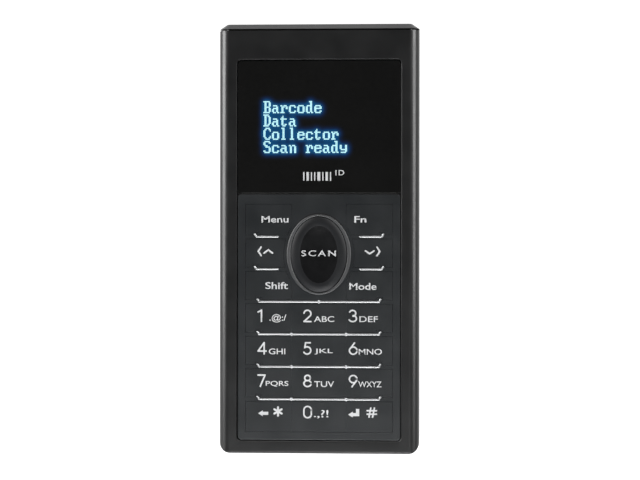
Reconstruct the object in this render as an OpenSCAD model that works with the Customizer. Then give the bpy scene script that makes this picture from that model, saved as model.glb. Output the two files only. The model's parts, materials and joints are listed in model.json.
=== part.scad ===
// Handheld barcode data collector with a display, a nineteen-key pad and a laser
// scan engine behind the window in its nose. It lies on its back: +Z points out of
// the front face, +Y runs towards the nose, and the origin is under its centre.

/* [Body] */
// Overall width, side to side
body_w = 51; // [42:0.1:62]
// Overall length, tail to nose
body_l = 109.4; // [91:0.1:132]
// Overall thickness, back to front
body_t = 20; // [16.6:0.1:24]
// Thickness of the side and tail walls
wall = 1.6; // [1.3:0.05:2]
// Thickness of the skin behind the front face
front_skin = 1.6; // [1.3:0.05:2.4]
// Thickness of the floor behind the back face
back_skin = 1.8; // [1.5:0.05:2.2]
// Height of the front half of the case, from the parting line to the front face
front_half_h = 9; // [7.5:0.1:10.8]
// Reach of the rounding on the long front edges, across the front face
front_edge_x = 2.7; // [1.5:0.1:3.5]
// Depth of the same rounding, down the side
front_edge_z = 2.3; // [1.5:0.1:3]
// Radius of the rounding on the long back edges
back_edge_r = 3.2; // [2:0.1:4]
// Radius of the rounding where the tail meets the front and the back
tail_edge_r = 0.8; // [0.6:0.1:1.6]
// Radius of the two tail corners, seen from the front
tail_corner_r = 3; // [2:0.1:4]

/* [Nose cap] */
// Length of the nose beyond the case halves
cap_l = 1.7; // [1.5:0.1:2.4]
// Open groove between the case halves and the cap
cap_groove = 0.4; // [0.2:0.05:0.5]
// Narrowing of the cap at its front and back edges
nose_bevel = 1.45; // [1:0.05:1.6]
// Narrowing of the cap at its two sides
side_bevel = 1.95; // [1.2:0.05:2.2]
// Width of the scan window
scan_window_w = 32; // [27:0.5:34]
// Height of the scan window
scan_window_h = 10.4; // [8.5:0.1:11]
// Thickness of the scan window
scan_window_t = 1; // [0.8:0.1:1.2]

/* [Front panel] */
// Front face left at each side of the panel opening
side_bezel = 4.6; // [3.6:0.05:5.2]
// Front face left between the nose cap and the panel opening
nose_bezel = 7.5; // [6.3:0.1:9]
// Front face left between the panel opening and the tail
tail_bezel = 3.25; // [2.7:0.05:4]
// Radius of the corners of the panel opening
panel_corner_r = 1; // [0.6:0.1:1.6]
// Depth of the panel below the front face
panel_recess = 0.15; // [0:0.05:0.3]
// Thickness of the display window and of the keypad plate
panel_t = 1; // [0.8:0.1:1.2]
// Width of the ledge that carries the panel
ledge_w = 1; // [0.8:0.1:1.2]
// Thickness of that ledge
ledge_t = 1.2; // [1:0.1:1.4]
// Gap round the window and the plate in their opening
panel_gap = 0.2; // [0.15:0.01:0.25]
// Thickness of the adhesive under the panel
adhesive_t = 0.15; // [0.1:0.01:0.2]

/* [Keypad] */
// Distance from one key row to the next
row_pitch = 8.27; // [6.9:0.01:8.7]
// Width of the middle key of each number row
middle_key_w = 13.9; // [11.6:0.1:16.7]
// Plate left outside the outer keys, at each side
key_side_margin = 2.2; // [1.9:0.05:2.9]
// Plate left under the last key row
key_tail_margin = 2.3; // [1.9:0.1:2.8]
// Plate left above the first key row
key_nose_margin = 2.7; // [2.2:0.1:3.3]
// Width of the plate's rib between two key rows
rib_w = 1.1; // [0.9:0.05:1.3]
// Gap between a key and its neighbour
key_gap = 0.12; // [0.08:0.01:0.2]
// Travel of a key
key_travel = 0.35; // [0.2:0.05:0.4]
// Width of the lip that holds each key under the plate
key_lip = 0.3; // [0.2:0.05:0.4]
// Thickness of that lip
key_lip_t = 0.5; // [0.4:0.05:0.6]
// Width of the metal bars between the rows
bar_w = 0.5; // [0.4:0.02:0.7]
// Height of the metal bars above the plate
bar_h = 0.22; // [0.15:0.01:0.35]
// Distance from the long bars' ends to the outer edge of the keys
long_bar_gap = 2.8; // [2:0.1:3.4]
// Distance from the short bars' outer ends to the outer edge of the keys
short_bar_gap = 2.1; // [1.8:0.1:3]
// Distance from the short bars' inner ends to the ring
short_bar_ring_gap = 2.3; // [2:0.1:3.4]

/* [Scan key] */
// Half of the width of the ring round the scan key
ring_a = 8.2; // [6.9:0.1:9.4]
// Space from that ring's ends to the ends of the three function rows, on average
ring_end_space = 2.15; // [1.8:0.05:2.6]
// Width of the ring at its sides
ring_side_w = 1; // [0.8:0.05:1.2]
// Width of the ring at its two ends
ring_end_w = 0.55; // [0.45:0.05:0.7]
// Height of the ring above the plate
ring_h = 0.35; // [0.2:0.05:0.6]
// Height of the scan key above the plate
scan_key_h = 0.75; // [0.5:0.05:1]
// Depth of the thumb dish in the scan key
dish_depth = 0.45; // [0.3:0.05:0.6]
// Width of the raised border round that dish
dish_border = 2.3; // [1.9:0.05:2.6]
// Offset of the scan key from the middle of the function rows
scan_key_shift = -0.35; // [-0.6:0.05:0]

/* [Inside] */
// Thickness of the silicone key mat's sheet
mat_t = 0.5; // [0.4:0.05:0.6]
// Height of the pads on the key mat
mat_pad_h = 0.7; // [0.6:0.05:0.8]
// Distance from the mat's sheet to the board
mat_standoff = 1.4; // [1.2:0.1:1.6]
// Thickness of the main board
board_t = 1; // [0.8:0.1:1.2]
// Clearance of the board inside the case
board_gap = 0.35; // [0.25:0.05:0.5]
// Length of the battery
battery_l = 46; // [36:1:50]
// Width of the battery
battery_w = 33; // [27:1:35]
// Thickness of the battery
battery_t = 5.4; // [4.5:0.1:6.4]
// Thickness of the foam under the battery
foam_t = 0.4; // [0.3:0.05:0.6]
// Width of the scan engine
engine_w = 21.6; // [18:0.1:24]
// Depth of the scan engine, along the body
engine_l = 15.9; // [14.6:0.1:17]
// Height of the scan engine with its board
engine_h = 8.8; // [8:0.1:9.2]
// Wall thickness of the scan engine's chassis
engine_wall = 0.9; // [0.7:0.05:1]
// Radius of the pin on which the scan mirror swings
pivot_r = 0.5; // [0.4:0.05:0.6]
// Running clearance of the mirror on that pin
pivot_gap = 0.05; // [0.02:0.01:0.08]

/* [Fasteners and strap eye] */
// Radius of a case screw's thread
screw_r = 1; // [0.8:0.05:1.1]
// Radius of a case screw's head
screw_head_r = 1.8; // [1.5:0.05:1.9]
// Height of a case screw's head
screw_head_h = 1.2; // [1:0.1:1.4]
// Distance of the case screws from the sides
screw_inset_x = 6; // [5.4:0.1:7]
// Distance of the tail screws from the tail, and of the nose screws from the cap
screw_inset_y = 4.7; // [4.2:0.1:5.2]
// Radius of the strap eye
strap_eye_r = 1.1; // [0.9:0.05:1.3]
// Distance of the strap eye from the tail
strap_eye_y = 3.6; // [3.2:0.1:4.2]
// Distance of the strap eye from the left side
strap_eye_x = 14; // [12.8:0.1:14.6]
// Thickness of the floor that the strap eye goes through
strap_floor = 3; // [2.5:0.1:3.4]

/* [Hidden] */

eps = 0.01;
arc_steps = 8;
ellipse_steps = 72;

// Outline of the whole body
half_w = body_w / 2;
tail_y = -body_l / 2;
nose_y = body_l / 2;
cap_y = nose_y - cap_l;
split_z = body_t - front_half_h;
inner_x = half_w - wall;
inner_tail_y = tail_y + wall;

// Front panel
panel_x = half_w - side_bezel;
panel_y0 = tail_y + tail_bezel;
panel_y1 = cap_y - nose_bezel;
panel_top = body_t - panel_recess;
panel_bottom = panel_top - panel_t;
ledge_top = panel_bottom - adhesive_t;
ledge_bottom = ledge_top - ledge_t;
key_y0 = panel_y0 + key_tail_margin;
rows = 7;
plate_y1 = key_y0 + rows * row_pitch + key_nose_margin;
crossbar_w = 2.2;

// Keys: row 0 is the last row, and row 6 the first
key_x = panel_x - key_side_margin;
lip_gap = 0.08;
lip_top = panel_bottom - lip_gap;
lip_bottom = lip_top - key_lip_t;
number_rows = 4;
scan_y = key_y0 + (number_rows + 1.5) * row_pitch + scan_key_shift;
ring_b = 1.5 * row_pitch - ring_end_space;
ring_margin = 0.8;
border_roll = 0.1;
border_crest = 1.3;
border_drop = 0.4;
long_bar_x = key_x - long_bar_gap;
short_bar_in = ring_a + short_bar_ring_gap;
short_bar_out = key_x - short_bar_gap;
ear_out = 0.3;
ear_in = 1.3;
ear_h = 0.62;
hook_dx = 0.5;
hook_dy = 0.6;
diamond_r = rib_w / 2 - 0.03;
KEYS = [["key_star", 0, 0], ["key_0", 0, 1], ["key_hash", 0, 2],
    ["key_7", 1, 0], ["key_8", 1, 1], ["key_9", 1, 2],
    ["key_4", 2, 0], ["key_5", 2, 1], ["key_6", 2, 2],
    ["key_1", 3, 0], ["key_2", 3, 1], ["key_3", 3, 2],
    ["key_shift", 4, 0], ["key_mode", 4, 2],
    ["key_back", 5, 0], ["key_forward", 5, 2],
    ["key_menu", 6, 0], ["key_fn", 6, 2]];

// Stack under the keys
pad_gap = 0.02;
mat_top = lip_bottom - pad_gap - mat_pad_h;
mat_bottom = mat_top - mat_t;
board_top = mat_bottom - mat_standoff;
board_bottom = board_top - board_t;
mat_x = panel_x - ledge_w - 0.4;
mat_y0 = panel_y0 + ledge_w + 0.3;
mat_y1 = plate_y1 - crossbar_w / 2 - 0.9;
mat_skirt_w = 0.8;
plunger_r = 1.1;
dome_r = 2.1;
film_t = 0.1;
// Each plunger stops just short of its dome, and the key's travel presses the dome flat
plunger_gap = 0.05;
dome_slack = 0.02;
dome_h = key_travel - plunger_gap - dome_slack;

// Display behind the window
display_side = 2.7;
display_end = 3.1;
display_x = panel_x - display_side;
display_y0 = plate_y1 + display_end + 0.3;
display_y1 = panel_y1 - display_end;
display_t = 1.5;
holder_wall = 0.8;
holder_floor = 0.7;
display_z0 = board_top + holder_floor + 0.05;
display_top = display_z0 + display_t;
flex_w = 12;
flex_t = 0.12;

// Case screws
screw_x = half_w - screw_inset_x;
screw_tail_y = tail_y + screw_inset_y;
screw_nose_y = cap_y - screw_inset_y;
SCREWS = [[-screw_x, screw_tail_y], [screw_x, screw_tail_y],
    [-screw_x, screw_nose_y], [screw_x, screw_nose_y]];
boss_r = 2.3;
rear_boss_r = 2.9;
boss_gap = 0.05;
head_seat_z = 2.4;
thread_gap = 0.03;
board_screw_x = panel_x - ledge_w - 1.7;
board_boss_r = 1.5;
board_screw_r = 0.7;
board_screw_head_h = 0.8;
shank_gap = 0.15;
lug_t = 1.6;
spigot_l = 1.5;
spigot_gap = 0.1;
spigot_wall = 1.3;
front_boss_top = board_top - 0.2;
screw_tip_z = front_boss_top - 0.6;

// Scan engine, hung under the board
engine_gap = 0.1;
engine_top = board_bottom - engine_gap;
engine_bottom = engine_top - engine_h;
engine_board_t = 0.8;
chassis_top = engine_top - engine_board_t;
engine_y1 = cap_y - spigot_l - 2.6;
engine_y0 = engine_y1 - engine_l;
engine_mid_z = (chassis_top + engine_bottom) / 2;
pivot_x = 3.2;
pivot_y = engine_y0 + 7.6;
mirror_hub_r = 1.3;
mirror_l = 8;
mirror_h = 5.2;
mirror_t = 0.8;
mirror_angle = 40;
ribbon_w = 7;

// Nose cap and scan window
scan_z = engine_mid_z;
window_recess = 0.25;
window_edge_gap = 0.12;
scan_seal_t = 0.3;
scan_seal_w = 1.1;
cap_plate_t = 2.6;
window_y1 = nose_y - window_recess;
window_y0 = window_y1 - scan_window_t;
seal_y0 = window_y0 - scan_seal_t;

// Battery bay
battery_y0 = screw_tail_y + rear_boss_r + 1.6;
battery_z0 = back_skin + foam_t;
bay_gap = 0.4;
bay_wall = 1;
bay_h = 3;
contacts_y = battery_y0 + battery_l + bay_gap + 2;

// Rear parts beyond the battery
rear_parts_y = contacts_y + 7.4;
buzzer_x = 9.4;
buzzer_r = 4.4;
buzzer_h = 2.4;
motor_x = -9.4;
motor_r = 4;
motor_h = 2.7;
sound_hole_r = 0.55;
sound_hole_pitch = 2.1;

// Charging socket
socket_w = 7.6;
socket_l = 5.4;
socket_h = 2.7;
socket_recess = 0.5;
socket_gap = 0.35;
socket_z0 = board_bottom - socket_h;

// Strap eye, label and case seal
strap_x = -(half_w - strap_eye_x);
strap_y = tail_y + strap_eye_y;
strap_pocket_w = 3.4;
strap_pocket_h = 3.2;
strap_back = 1.6;
strap_wall = 1;
label_w = 30;
label_l = 32;
label_recess = 0.3;
label_t = 0.15;
label_y = -22;
seal_w = 0.7;
seal_h = 0.6;
seal_inset = (wall - seal_w) / 2;
groove_gap = 0.05;

function arc(cx, cy, rx, ry, a0, a1) =
    [for (i = [0:arc_steps]) let (a = a0 + (a1 - a0) * i / arc_steps)
        [cx + rx * cos(a), cy + ry * sin(a)]];

function ellipse_points(a, b) =
    [for (i = [0:ellipse_steps - 1]) let (t = 360 * i / ellipse_steps)
        [a * cos(t), b * sin(t)]];

// Cross-section of the body, X across and Z up, drawn inset from its outside
function section_points(inset, inset_z) =
    let (iz = is_undef(inset_z) ? inset : inset_z, x = half_w - inset,
        fx = max(front_edge_x - inset, 0.4), fz = max(front_edge_z - iz, 0.4),
        r = max(back_edge_r - inset, 0.4), z0 = iz, z1 = body_t - iz)
    concat(arc(x - fx, z1 - fz, fx, fz, 0, 90), arc(-x + fx, z1 - fz, fx, fz, 90, 180),
        arc(-x + r, z0 + r, r, r, 180, 270), arc(x - r, z0 + r, r, r, 270, 360));

// Plan of the body, X across and Y along
function plan_points(inset) =
    let (x = half_w - inset, y0 = tail_y + inset, y1 = nose_y - inset,
        r = max(tail_corner_r - inset, 0.4))
    concat(arc(-x + r, y0 + r, r, r, 180, 270), arc(x - r, y0 + r, r, r, 270, 360),
        [[x, y1], [-x, y1]]);

// Side view of the body, Y along and Z up
function side_points(inset) =
    let (y0 = tail_y + inset, y1 = nose_y - inset, z0 = inset, z1 = body_t - inset,
        r = max(tail_edge_r - inset, 0.4))
    concat(arc(y0 + r, z1 - r, r, r, 90, 180), arc(y0 + r, z0 + r, r, r, 180, 270),
        [[y1, z0], [y1, z1]]);

module body_solid(inset = 0) {
    intersection() {
        translate([0, body_l, 0]) rotate([90, 0, 0])
            linear_extrude(2 * body_l) polygon(section_points(inset));
        linear_extrude(body_t) polygon(plan_points(inset));
        translate([-body_w, 0, 0]) rotate([90, 0, 90])
            linear_extrude(2 * body_w) polygon(side_points(inset));
    }
}

// A box given by its lowest and highest corner
module span(low, high) {
    translate(low) cube(high - low);
}

// A flat rectangle with round corners, from (x0, y0) to (x1, y1)
module round_rect(x0, y0, x1, y1, r) {
    polygon(concat(arc(x1 - r, y1 - r, r, r, 0, 90), arc(x0 + r, y1 - r, r, r, 90, 180),
        arc(x0 + r, y0 + r, r, r, 180, 270), arc(x1 - r, y0 + r, r, r, 270, 360)));
}

module slab(x0, y0, x1, y1, r, z0, z1) {
    translate([0, 0, z0]) linear_extrude(z1 - z0) round_rect(x0, y0, x1, y1, r);
}

module drum(x, y, r, z0, z1, sides = 48) {
    translate([x, y, z0]) cylinder(h = z1 - z0, r = r, $fn = sides);
}

module ellipse_slab(a, b, z0, z1) {
    translate([0, scan_y, z0]) linear_extrude(z1 - z0) polygon(ellipse_points(a, b));
}

// The hollow inside the two case halves, open at the nose
module hollow(z0, z1) {
    intersection() {
        body_solid(wall);
        span([-body_w, -body_l, z0], [body_w, body_l, z1]);
    }
    intersection() {
        translate([0, nose_y + 1, 0]) rotate([90, 0, 0])
            linear_extrude(body_l / 4) polygon(section_points(wall));
        span([-body_w, -body_l, z0], [body_w, body_l, z1]);
    }
}

module strap_pocket() {
    span([strap_x - strap_pocket_w / 2, tail_y - 1, strap_floor],
        [strap_x + strap_pocket_w / 2, strap_y + strap_back, strap_floor + strap_pocket_h]);
}

module socket_port() {
    translate([0, inner_tail_y + 1, 0]) rotate([90, 0, 0])
        linear_extrude(wall + 2) round_rect(-socket_w / 2 - socket_gap,
            socket_z0 - socket_gap, socket_w / 2 + socket_gap,
            board_bottom + socket_gap, 0.6);
}

// Groove for the seal, cut in the rim of the rear half
module seal_path(extra) {
    difference() {
        intersection() {
            polygon(plan_points(seal_inset - extra));
            translate([-body_w, -body_l])
                square([2 * body_w, body_l + cap_y - 2 + extra]);
        }
        polygon(plan_points(seal_inset + seal_w + extra));
        translate([-half_w + seal_inset + seal_w + extra, cap_y - 4])
            square([2 * (half_w - seal_inset - seal_w - extra), 8]);
    }
}

module front_housing() {
    color([0.13, 0.13, 0.135]) difference() {
        union() {
            difference() {
                intersection() {
                    body_solid();
                    span([-body_w, -body_l, split_z + eps], [body_w, cap_y, body_t + 1]);
                }
                hollow(0, body_t - front_skin);
                slab(-panel_x, panel_y0, panel_x, panel_y1, panel_corner_r,
                    split_z, body_t + 1);
            }
            // Ledge and crossbar that carry the window and the keypad plate
            difference() {
                slab(-panel_x - 1, panel_y0 - 1, panel_x + 1, panel_y1 + 1,
                    panel_corner_r, ledge_bottom, ledge_top);
                slab(-panel_x + ledge_w, panel_y0 + ledge_w, panel_x - ledge_w,
                    plate_y1 - crossbar_w / 2, 0.5, split_z, body_t);
                slab(-panel_x + ledge_w, plate_y1 + crossbar_w / 2, panel_x - ledge_w,
                    panel_y1 - ledge_w, 0.5, split_z, body_t);
            }
            front_bosses();
            for (s = [-1, 1])
                drum(s * board_screw_x, plate_y1, board_boss_r, board_top, ledge_bottom + 0.2);
        }
        for (p = SCREWS)
            drum(p[0], p[1], screw_r + thread_gap, split_z - 1, screw_tip_z + 0.3);
        for (s = [-1, 1])
            drum(s * board_screw_x, plate_y1, board_screw_r + thread_gap,
                board_top - 1, ledge_bottom - 0.2);
        socket_port();
        translate([0, 0, split_z - 1]) linear_extrude(1 + eps) square(body_l, center = true);
    }
}

module front_bosses() {
    intersection() {
        body_solid(0.5);
        union() {
            for (p = SCREWS) let (nose = p[1] > 0, s = sign(p[0]),
                z0 = split_z + (nose ? lug_t / 2 + boss_gap : boss_gap),
                z1 = nose ? body_t - front_skin + 0.2 : front_boss_top) {
                drum(p[0], p[1], boss_r, z0, z1);
                // Web to the side wall
                span([min(p[0], s * (inner_x + 0.4)), p[1] - 0.6, z0],
                    [max(p[0], s * (inner_x + 0.4)), p[1] + 0.6, z1]);
                if (!nose)
                    span([p[0] - 0.6, inner_tail_y - 0.4, z0], [p[0] + 0.6, p[1], z1]);
            }
        }
    }
}

module rear_bosses() {
    for (p = SCREWS)
        drum(p[0], p[1], rear_boss_r, 0.5,
            split_z - (p[1] > 0 ? lug_t / 2 + boss_gap : boss_gap));
}

module battery_bay() {
    difference() {
        slab(-battery_w / 2 - bay_gap - bay_wall, battery_y0 - bay_gap - bay_wall,
            battery_w / 2 + bay_gap + bay_wall, battery_y0 + battery_l + bay_gap + bay_wall,
            0.8, back_skin - 0.3, back_skin + bay_h);
        slab(-battery_w / 2 - bay_gap, battery_y0 - bay_gap, battery_w / 2 + bay_gap,
            battery_y0 + battery_l + bay_gap, 0.4, back_skin - 1, body_t);
        // Gaps in the bay's long walls, for a finger to lift the battery
        span([-half_w, battery_y0 + battery_l / 3, back_skin + 1],
            [half_w, battery_y0 + 2 * battery_l / 3, body_t]);
    }
}

module sound_holes() {
    for (a = [0:60:300])
        drum(buzzer_x + sound_hole_pitch * cos(a), rear_parts_y + sound_hole_pitch * sin(a),
            sound_hole_r, -1, back_skin + 1, 24);
    drum(buzzer_x, rear_parts_y, sound_hole_r, -1, back_skin + 1, 24);
}

module rear_housing() {
    color([0.11, 0.11, 0.115]) difference() {
        union() {
            difference() {
                intersection() {
                    body_solid();
                    span([-body_w, -body_l, -1], [body_w, cap_y, split_z]);
                }
                hollow(back_skin, body_t);
            }
            intersection() {
                body_solid(0.5);
                union() {
                    rear_bosses();
                    // Walls of the strap pocket
                    span([strap_x - strap_pocket_w / 2 - strap_wall, tail_y, 0.5],
                        [strap_x + strap_pocket_w / 2 + strap_wall,
                        strap_y + strap_back + strap_wall,
                        strap_floor + strap_pocket_h + strap_wall]);
                }
            }
            battery_bay();
            // Collars round the buzzer and the vibration motor
            for (c = [[buzzer_x, buzzer_r], [motor_x, motor_r]])
                difference() {
                    drum(c[0], rear_parts_y, c[1] + 1, back_skin - 0.3, back_skin + 1.2);
                    drum(c[0], rear_parts_y, c[1] + 0.15, back_skin - 1, body_t);
                }
        }
        strap_pocket();
        drum(strap_x, strap_y, strap_eye_r, -1, strap_floor + 1);
        for (p = SCREWS) {
            drum(p[0], p[1], screw_r + shank_gap, -1, split_z + 1);
            drum(p[0], p[1], screw_head_r + 0.25, -1, head_seat_z);
        }
        sound_holes();
        socket_port();
        slab(-label_w / 2, label_y - label_l / 2, label_w / 2, label_y + label_l / 2,
            1.5, -1, label_recess);
        translate([0, 0, split_z - seal_h - groove_gap]) linear_extrude(2)
            seal_path(groove_gap);
    }
}

// A frame in the XZ plane of the nose, from y0 to y1
module nose_slab(half_x, half_z, r, y0, y1) {
    translate([0, y1, scan_z]) rotate([90, 0, 0])
        linear_extrude(y1 - y0) round_rect(-half_x, -half_z, half_x, half_z, r);
}

// The outside of the nose cap: the body's section, narrowing towards the nose
module cap_shell() {
    base = section_points(0);
    end = section_points(side_bevel, nose_bevel);
    n = len(base);
    polyhedron(
        points = concat([for (p = base) [p[0], cap_y + cap_groove, p[1]]],
            [for (p = end) [p[0], nose_y, p[1]]]),
        faces = concat([[for (i = [n - 1:-1:0]) i]], [[for (i = [0:n - 1]) n + i]],
            [for (i = [0:n - 1]) let (j = (i + 1) % n) [i, j, n + j]],
            [for (i = [0:n - 1]) let (j = (i + 1) % n) [i, n + j, n + i]]));
}

module nose_cap() {
    spigot_y0 = cap_y - spigot_l;
    spigot_y1 = cap_y + cap_groove + 0.5;
    color([0.2, 0.2, 0.205]) difference() {
        union() {
            cap_shell();
            // Spigot inside the case halves
            intersection() {
                translate([0, spigot_y1, 0]) rotate([90, 0, 0])
                    linear_extrude(spigot_y1 - spigot_y0)
                    polygon(section_points(wall + spigot_gap));
                span([-body_w, spigot_y0, back_skin + spigot_gap],
                    [body_w, spigot_y1, body_t - front_skin - spigot_gap]);
            }
            for (s = [-1, 1]) {
                drum(s * screw_x, screw_nose_y, boss_r, split_z - lug_t / 2, split_z + lug_t / 2);
                span([s * screw_x - 1.6, screw_nose_y, split_z - lug_t / 2],
                    [s * screw_x + 1.6, cap_y, split_z + lug_t / 2]);
            }
        }
        // Hollow of the spigot
        translate([0, nose_y - cap_plate_t, 0]) rotate([90, 0, 0]) linear_extrude(body_l / 4)
            difference() {
                polygon(section_points(wall + spigot_gap + spigot_wall));
                for (s = [-1, 1])
                    translate([s * screw_x, split_z]) square([3.2, lug_t], center = true);
            }
        for (s = [-1, 1])
            drum(s * screw_x, screw_nose_y, screw_r + shank_gap, 0, body_t);
        nose_slab(scan_window_w / 2 + window_edge_gap, scan_window_h / 2 + window_edge_gap,
            1.2, seal_y0, nose_y + 1);
        nose_slab(scan_window_w / 2 - scan_seal_w, scan_window_h / 2 - scan_seal_w, 0.8,
            nose_y - cap_plate_t - 0.5, nose_y + 1);
    }
}

module scan_window() {
    color([0.25, 0.02, 0.03]) nose_slab(scan_window_w / 2, scan_window_h / 2, 1.1,
        window_y0, window_y1);
}

module scan_window_seal() {
    color([0.05, 0.05, 0.05]) difference() {
        nose_slab(scan_window_w / 2, scan_window_h / 2, 1.1, seal_y0, window_y0);
        nose_slab(scan_window_w / 2 - scan_seal_w, scan_window_h / 2 - scan_seal_w, 0.8,
            seal_y0 - 1, window_y0 + 1);
    }
}

module case_seal() {
    color([0.06, 0.06, 0.06]) translate([0, 0, split_z - seal_h])
        linear_extrude(seal_h) seal_path(0);
}

module cross_recess(x, y, size, z0, z1) {
    for (a = [0, 90])
        translate([x, y, (z0 + z1) / 2]) rotate([0, 0, a])
            cube([size, size / 4, z1 - z0], center = true);
}

module case_screws() {
    color([0.55, 0.55, 0.57]) for (p = SCREWS) difference() {
        union() {
            drum(p[0], p[1], screw_head_r, head_seat_z - screw_head_h, head_seat_z);
            drum(p[0], p[1], screw_r, head_seat_z - 0.1, screw_tip_z);
        }
        cross_recess(p[0], p[1], 2 * screw_r, head_seat_z - screw_head_h - 1,
            head_seat_z - screw_head_h / 2);
    }
}

module board_screws() {
    color([0.6, 0.6, 0.6]) for (s = [-1, 1]) difference() {
        union() {
            drum(s * board_screw_x, plate_y1, board_screw_r, board_bottom - 0.1,
                ledge_bottom - 0.4);
            drum(s * board_screw_x, plate_y1, 2 * board_screw_r,
                board_bottom - board_screw_head_h, board_bottom);
        }
        cross_recess(s * board_screw_x, plate_y1, 2 * board_screw_r, board_bottom - 2,
            board_bottom - 0.4);
    }
}

module display_window() {
    color([0.06, 0.06, 0.065]) slab(-panel_x + panel_gap, plate_y1 + panel_gap / 2,
        panel_x - panel_gap, panel_y1 - panel_gap, panel_corner_r - panel_gap,
        panel_bottom, panel_top);
}

module panel_adhesive() {
    color([0.08, 0.08, 0.08]) difference() {
        slab(-panel_x + panel_gap, panel_y0 + panel_gap, panel_x - panel_gap,
            panel_y1 - panel_gap, panel_corner_r - panel_gap, ledge_top, panel_bottom);
        slab(-panel_x + ledge_w, panel_y0 + ledge_w, panel_x - ledge_w,
            plate_y1 - crossbar_w / 2, 0.5, split_z, body_t);
        slab(-panel_x + ledge_w, plate_y1 + crossbar_w / 2, panel_x - ledge_w,
            panel_y1 - ledge_w, 0.5, split_z, body_t);
    }
}

// Lower and upper limit of a key row's cell
function row_y0(r) = key_y0 + r * row_pitch + (r == 0 ? 0 : rib_w / 2);
function row_y1(r) = key_y0 + (r + 1) * row_pitch - (r == rows - 1 ? 0 : rib_w / 2);
function cell_x0(c) = c == 0 ? -key_x : c == 1 ? -middle_key_w / 2 : middle_key_w / 2;
function cell_x1(c) = c == 2 ? key_x : c == 1 ? middle_key_w / 2 : -middle_key_w / 2;
function bar_out(r) = r > number_rows ? short_bar_out : long_bar_x;

// Ear of the rib under an outer key, which carries the end of the metal bar
module ear(r, grow) {
    for (s = [-1, 1])
        translate([s * (bar_out(r) + (ear_out - ear_in) / 2), row_y0(r) + ear_h / 2 - 0.5])
            square([ear_in + ear_out + 2 * grow, ear_h + 1 + 2 * grow], center = true);
}

// Flat outline of a key's cell, grown by some gap
module cell(r, c, grow) {
    difference() {
        translate([cell_x0(c) - grow, row_y0(r) - grow])
            square([cell_x1(c) - cell_x0(c) + 2 * grow, row_y1(r) - row_y0(r) + 2 * grow]);
        if (r >= number_rows)
            translate([0, scan_y]) polygon(ellipse_points(ring_a + ring_margin - grow,
                ring_b + ring_margin - grow));
        if (r > 0 && c != 1) ear(r, -grow);
    }
}

module key(r, c) {
    inner = key_gap / 2;
    color([0.17, 0.175, 0.18]) {
        translate([0, 0, lip_top - eps]) linear_extrude(panel_top - lip_top + eps)
            cell(r, c, -inner);
        // Lip under the plate, at the row's two sides and the outer side
        translate([0, 0, lip_bottom]) linear_extrude(key_lip_t) difference() {
            translate([cell_x0(c) + (c == 0 ? -key_lip : inner), row_y0(r) - key_lip])
                square([cell_x1(c) - cell_x0(c) + (c == 1 ? -2 * inner : key_lip - inner),
                    row_y1(r) - row_y0(r) + 2 * key_lip]);
            if (r >= number_rows)
                translate([0, scan_y]) polygon(ellipse_points(ring_a + ring_margin + inner,
                    ring_b + ring_margin + inner));
        }
    }
}

module keypad_plate() {
    grow = key_gap / 2;
    color([0.16, 0.165, 0.17]) translate([0, 0, panel_bottom]) linear_extrude(panel_t)
        difference() {
            round_rect(-panel_x + panel_gap, panel_y0 + panel_gap, panel_x - panel_gap,
                plate_y1 - panel_gap / 2, panel_corner_r - panel_gap);
            for (k = KEYS) cell(k[1], k[2], grow);
            translate([0, scan_y]) polygon(ellipse_points(ring_a + pad_gap, ring_b + pad_gap));
        }
}

// A straight stroke with round ends
module stroke(a, b) {
    d = b - a;
    translate(a) circle(r = bar_w / 2, $fn = 24);
    translate(b) circle(r = bar_w / 2, $fn = 24);
    translate(a) rotate(atan2(d[1], d[0])) translate([0, -bar_w / 2])
        square([norm(d), bar_w]);
}

// The hooked outer end of a bar
module hook(x, y, s) {
    stroke([s * (x - hook_dx - bar_w / 2), y], [s * (x - bar_w / 2), y + hook_dy]);
}

module row_bars() {
    color([0.75, 0.76, 0.77]) translate([0, 0, panel_top]) linear_extrude(bar_h) {
        for (k = [1:number_rows]) let (y = key_y0 + k * row_pitch,
            x = long_bar_x - hook_dx - bar_w / 2) {
            stroke([-x, y], [x, y]);
            for (s = [-1, 1]) hook(long_bar_x, y, s);
            for (d = k == number_rows ? [0] : [-middle_key_w / 2, middle_key_w / 2])
                translate([d, y]) circle(r = diamond_r, $fn = 4);
        }
        for (k = [number_rows + 1:rows - 1], s = [-1, 1]) let (y = key_y0 + k * row_pitch) {
            stroke([s * (short_bar_in + bar_w / 2), y],
                [s * (short_bar_out - hook_dx - bar_w / 2), y]);
            hook(short_bar_out, y, s);
        }
    }
}

module scan_key_ring() {
    color([0.2, 0.2, 0.205]) difference() {
        ellipse_slab(ring_a, ring_b, panel_bottom, panel_top + ring_h);
        ellipse_slab(ring_a - ring_side_w, ring_b - ring_end_w, 0, body_t + 5);
    }
}

// Height of the scan key's top. Inside the dish, t is the share of the way from the
// centre to the dish's edge; on the border it is 1 plus the share of the way across.
function scan_key_z(t) = panel_top + scan_key_h
    - (t < 1 ? dish_depth - (dish_depth - border_roll) * pow(t, 2)
    : t < border_crest ? border_roll * pow((border_crest - t) / (border_crest - 1), 2)
    : border_drop * pow((t - border_crest) / (2 - border_crest), 2));

// Distance of a ring of the scan key's top from its centre, along one half axis
function scan_key_axis(t, half) = t < 1 ? (half - dish_border) * t
    : half - dish_border * (2 - t);

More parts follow.
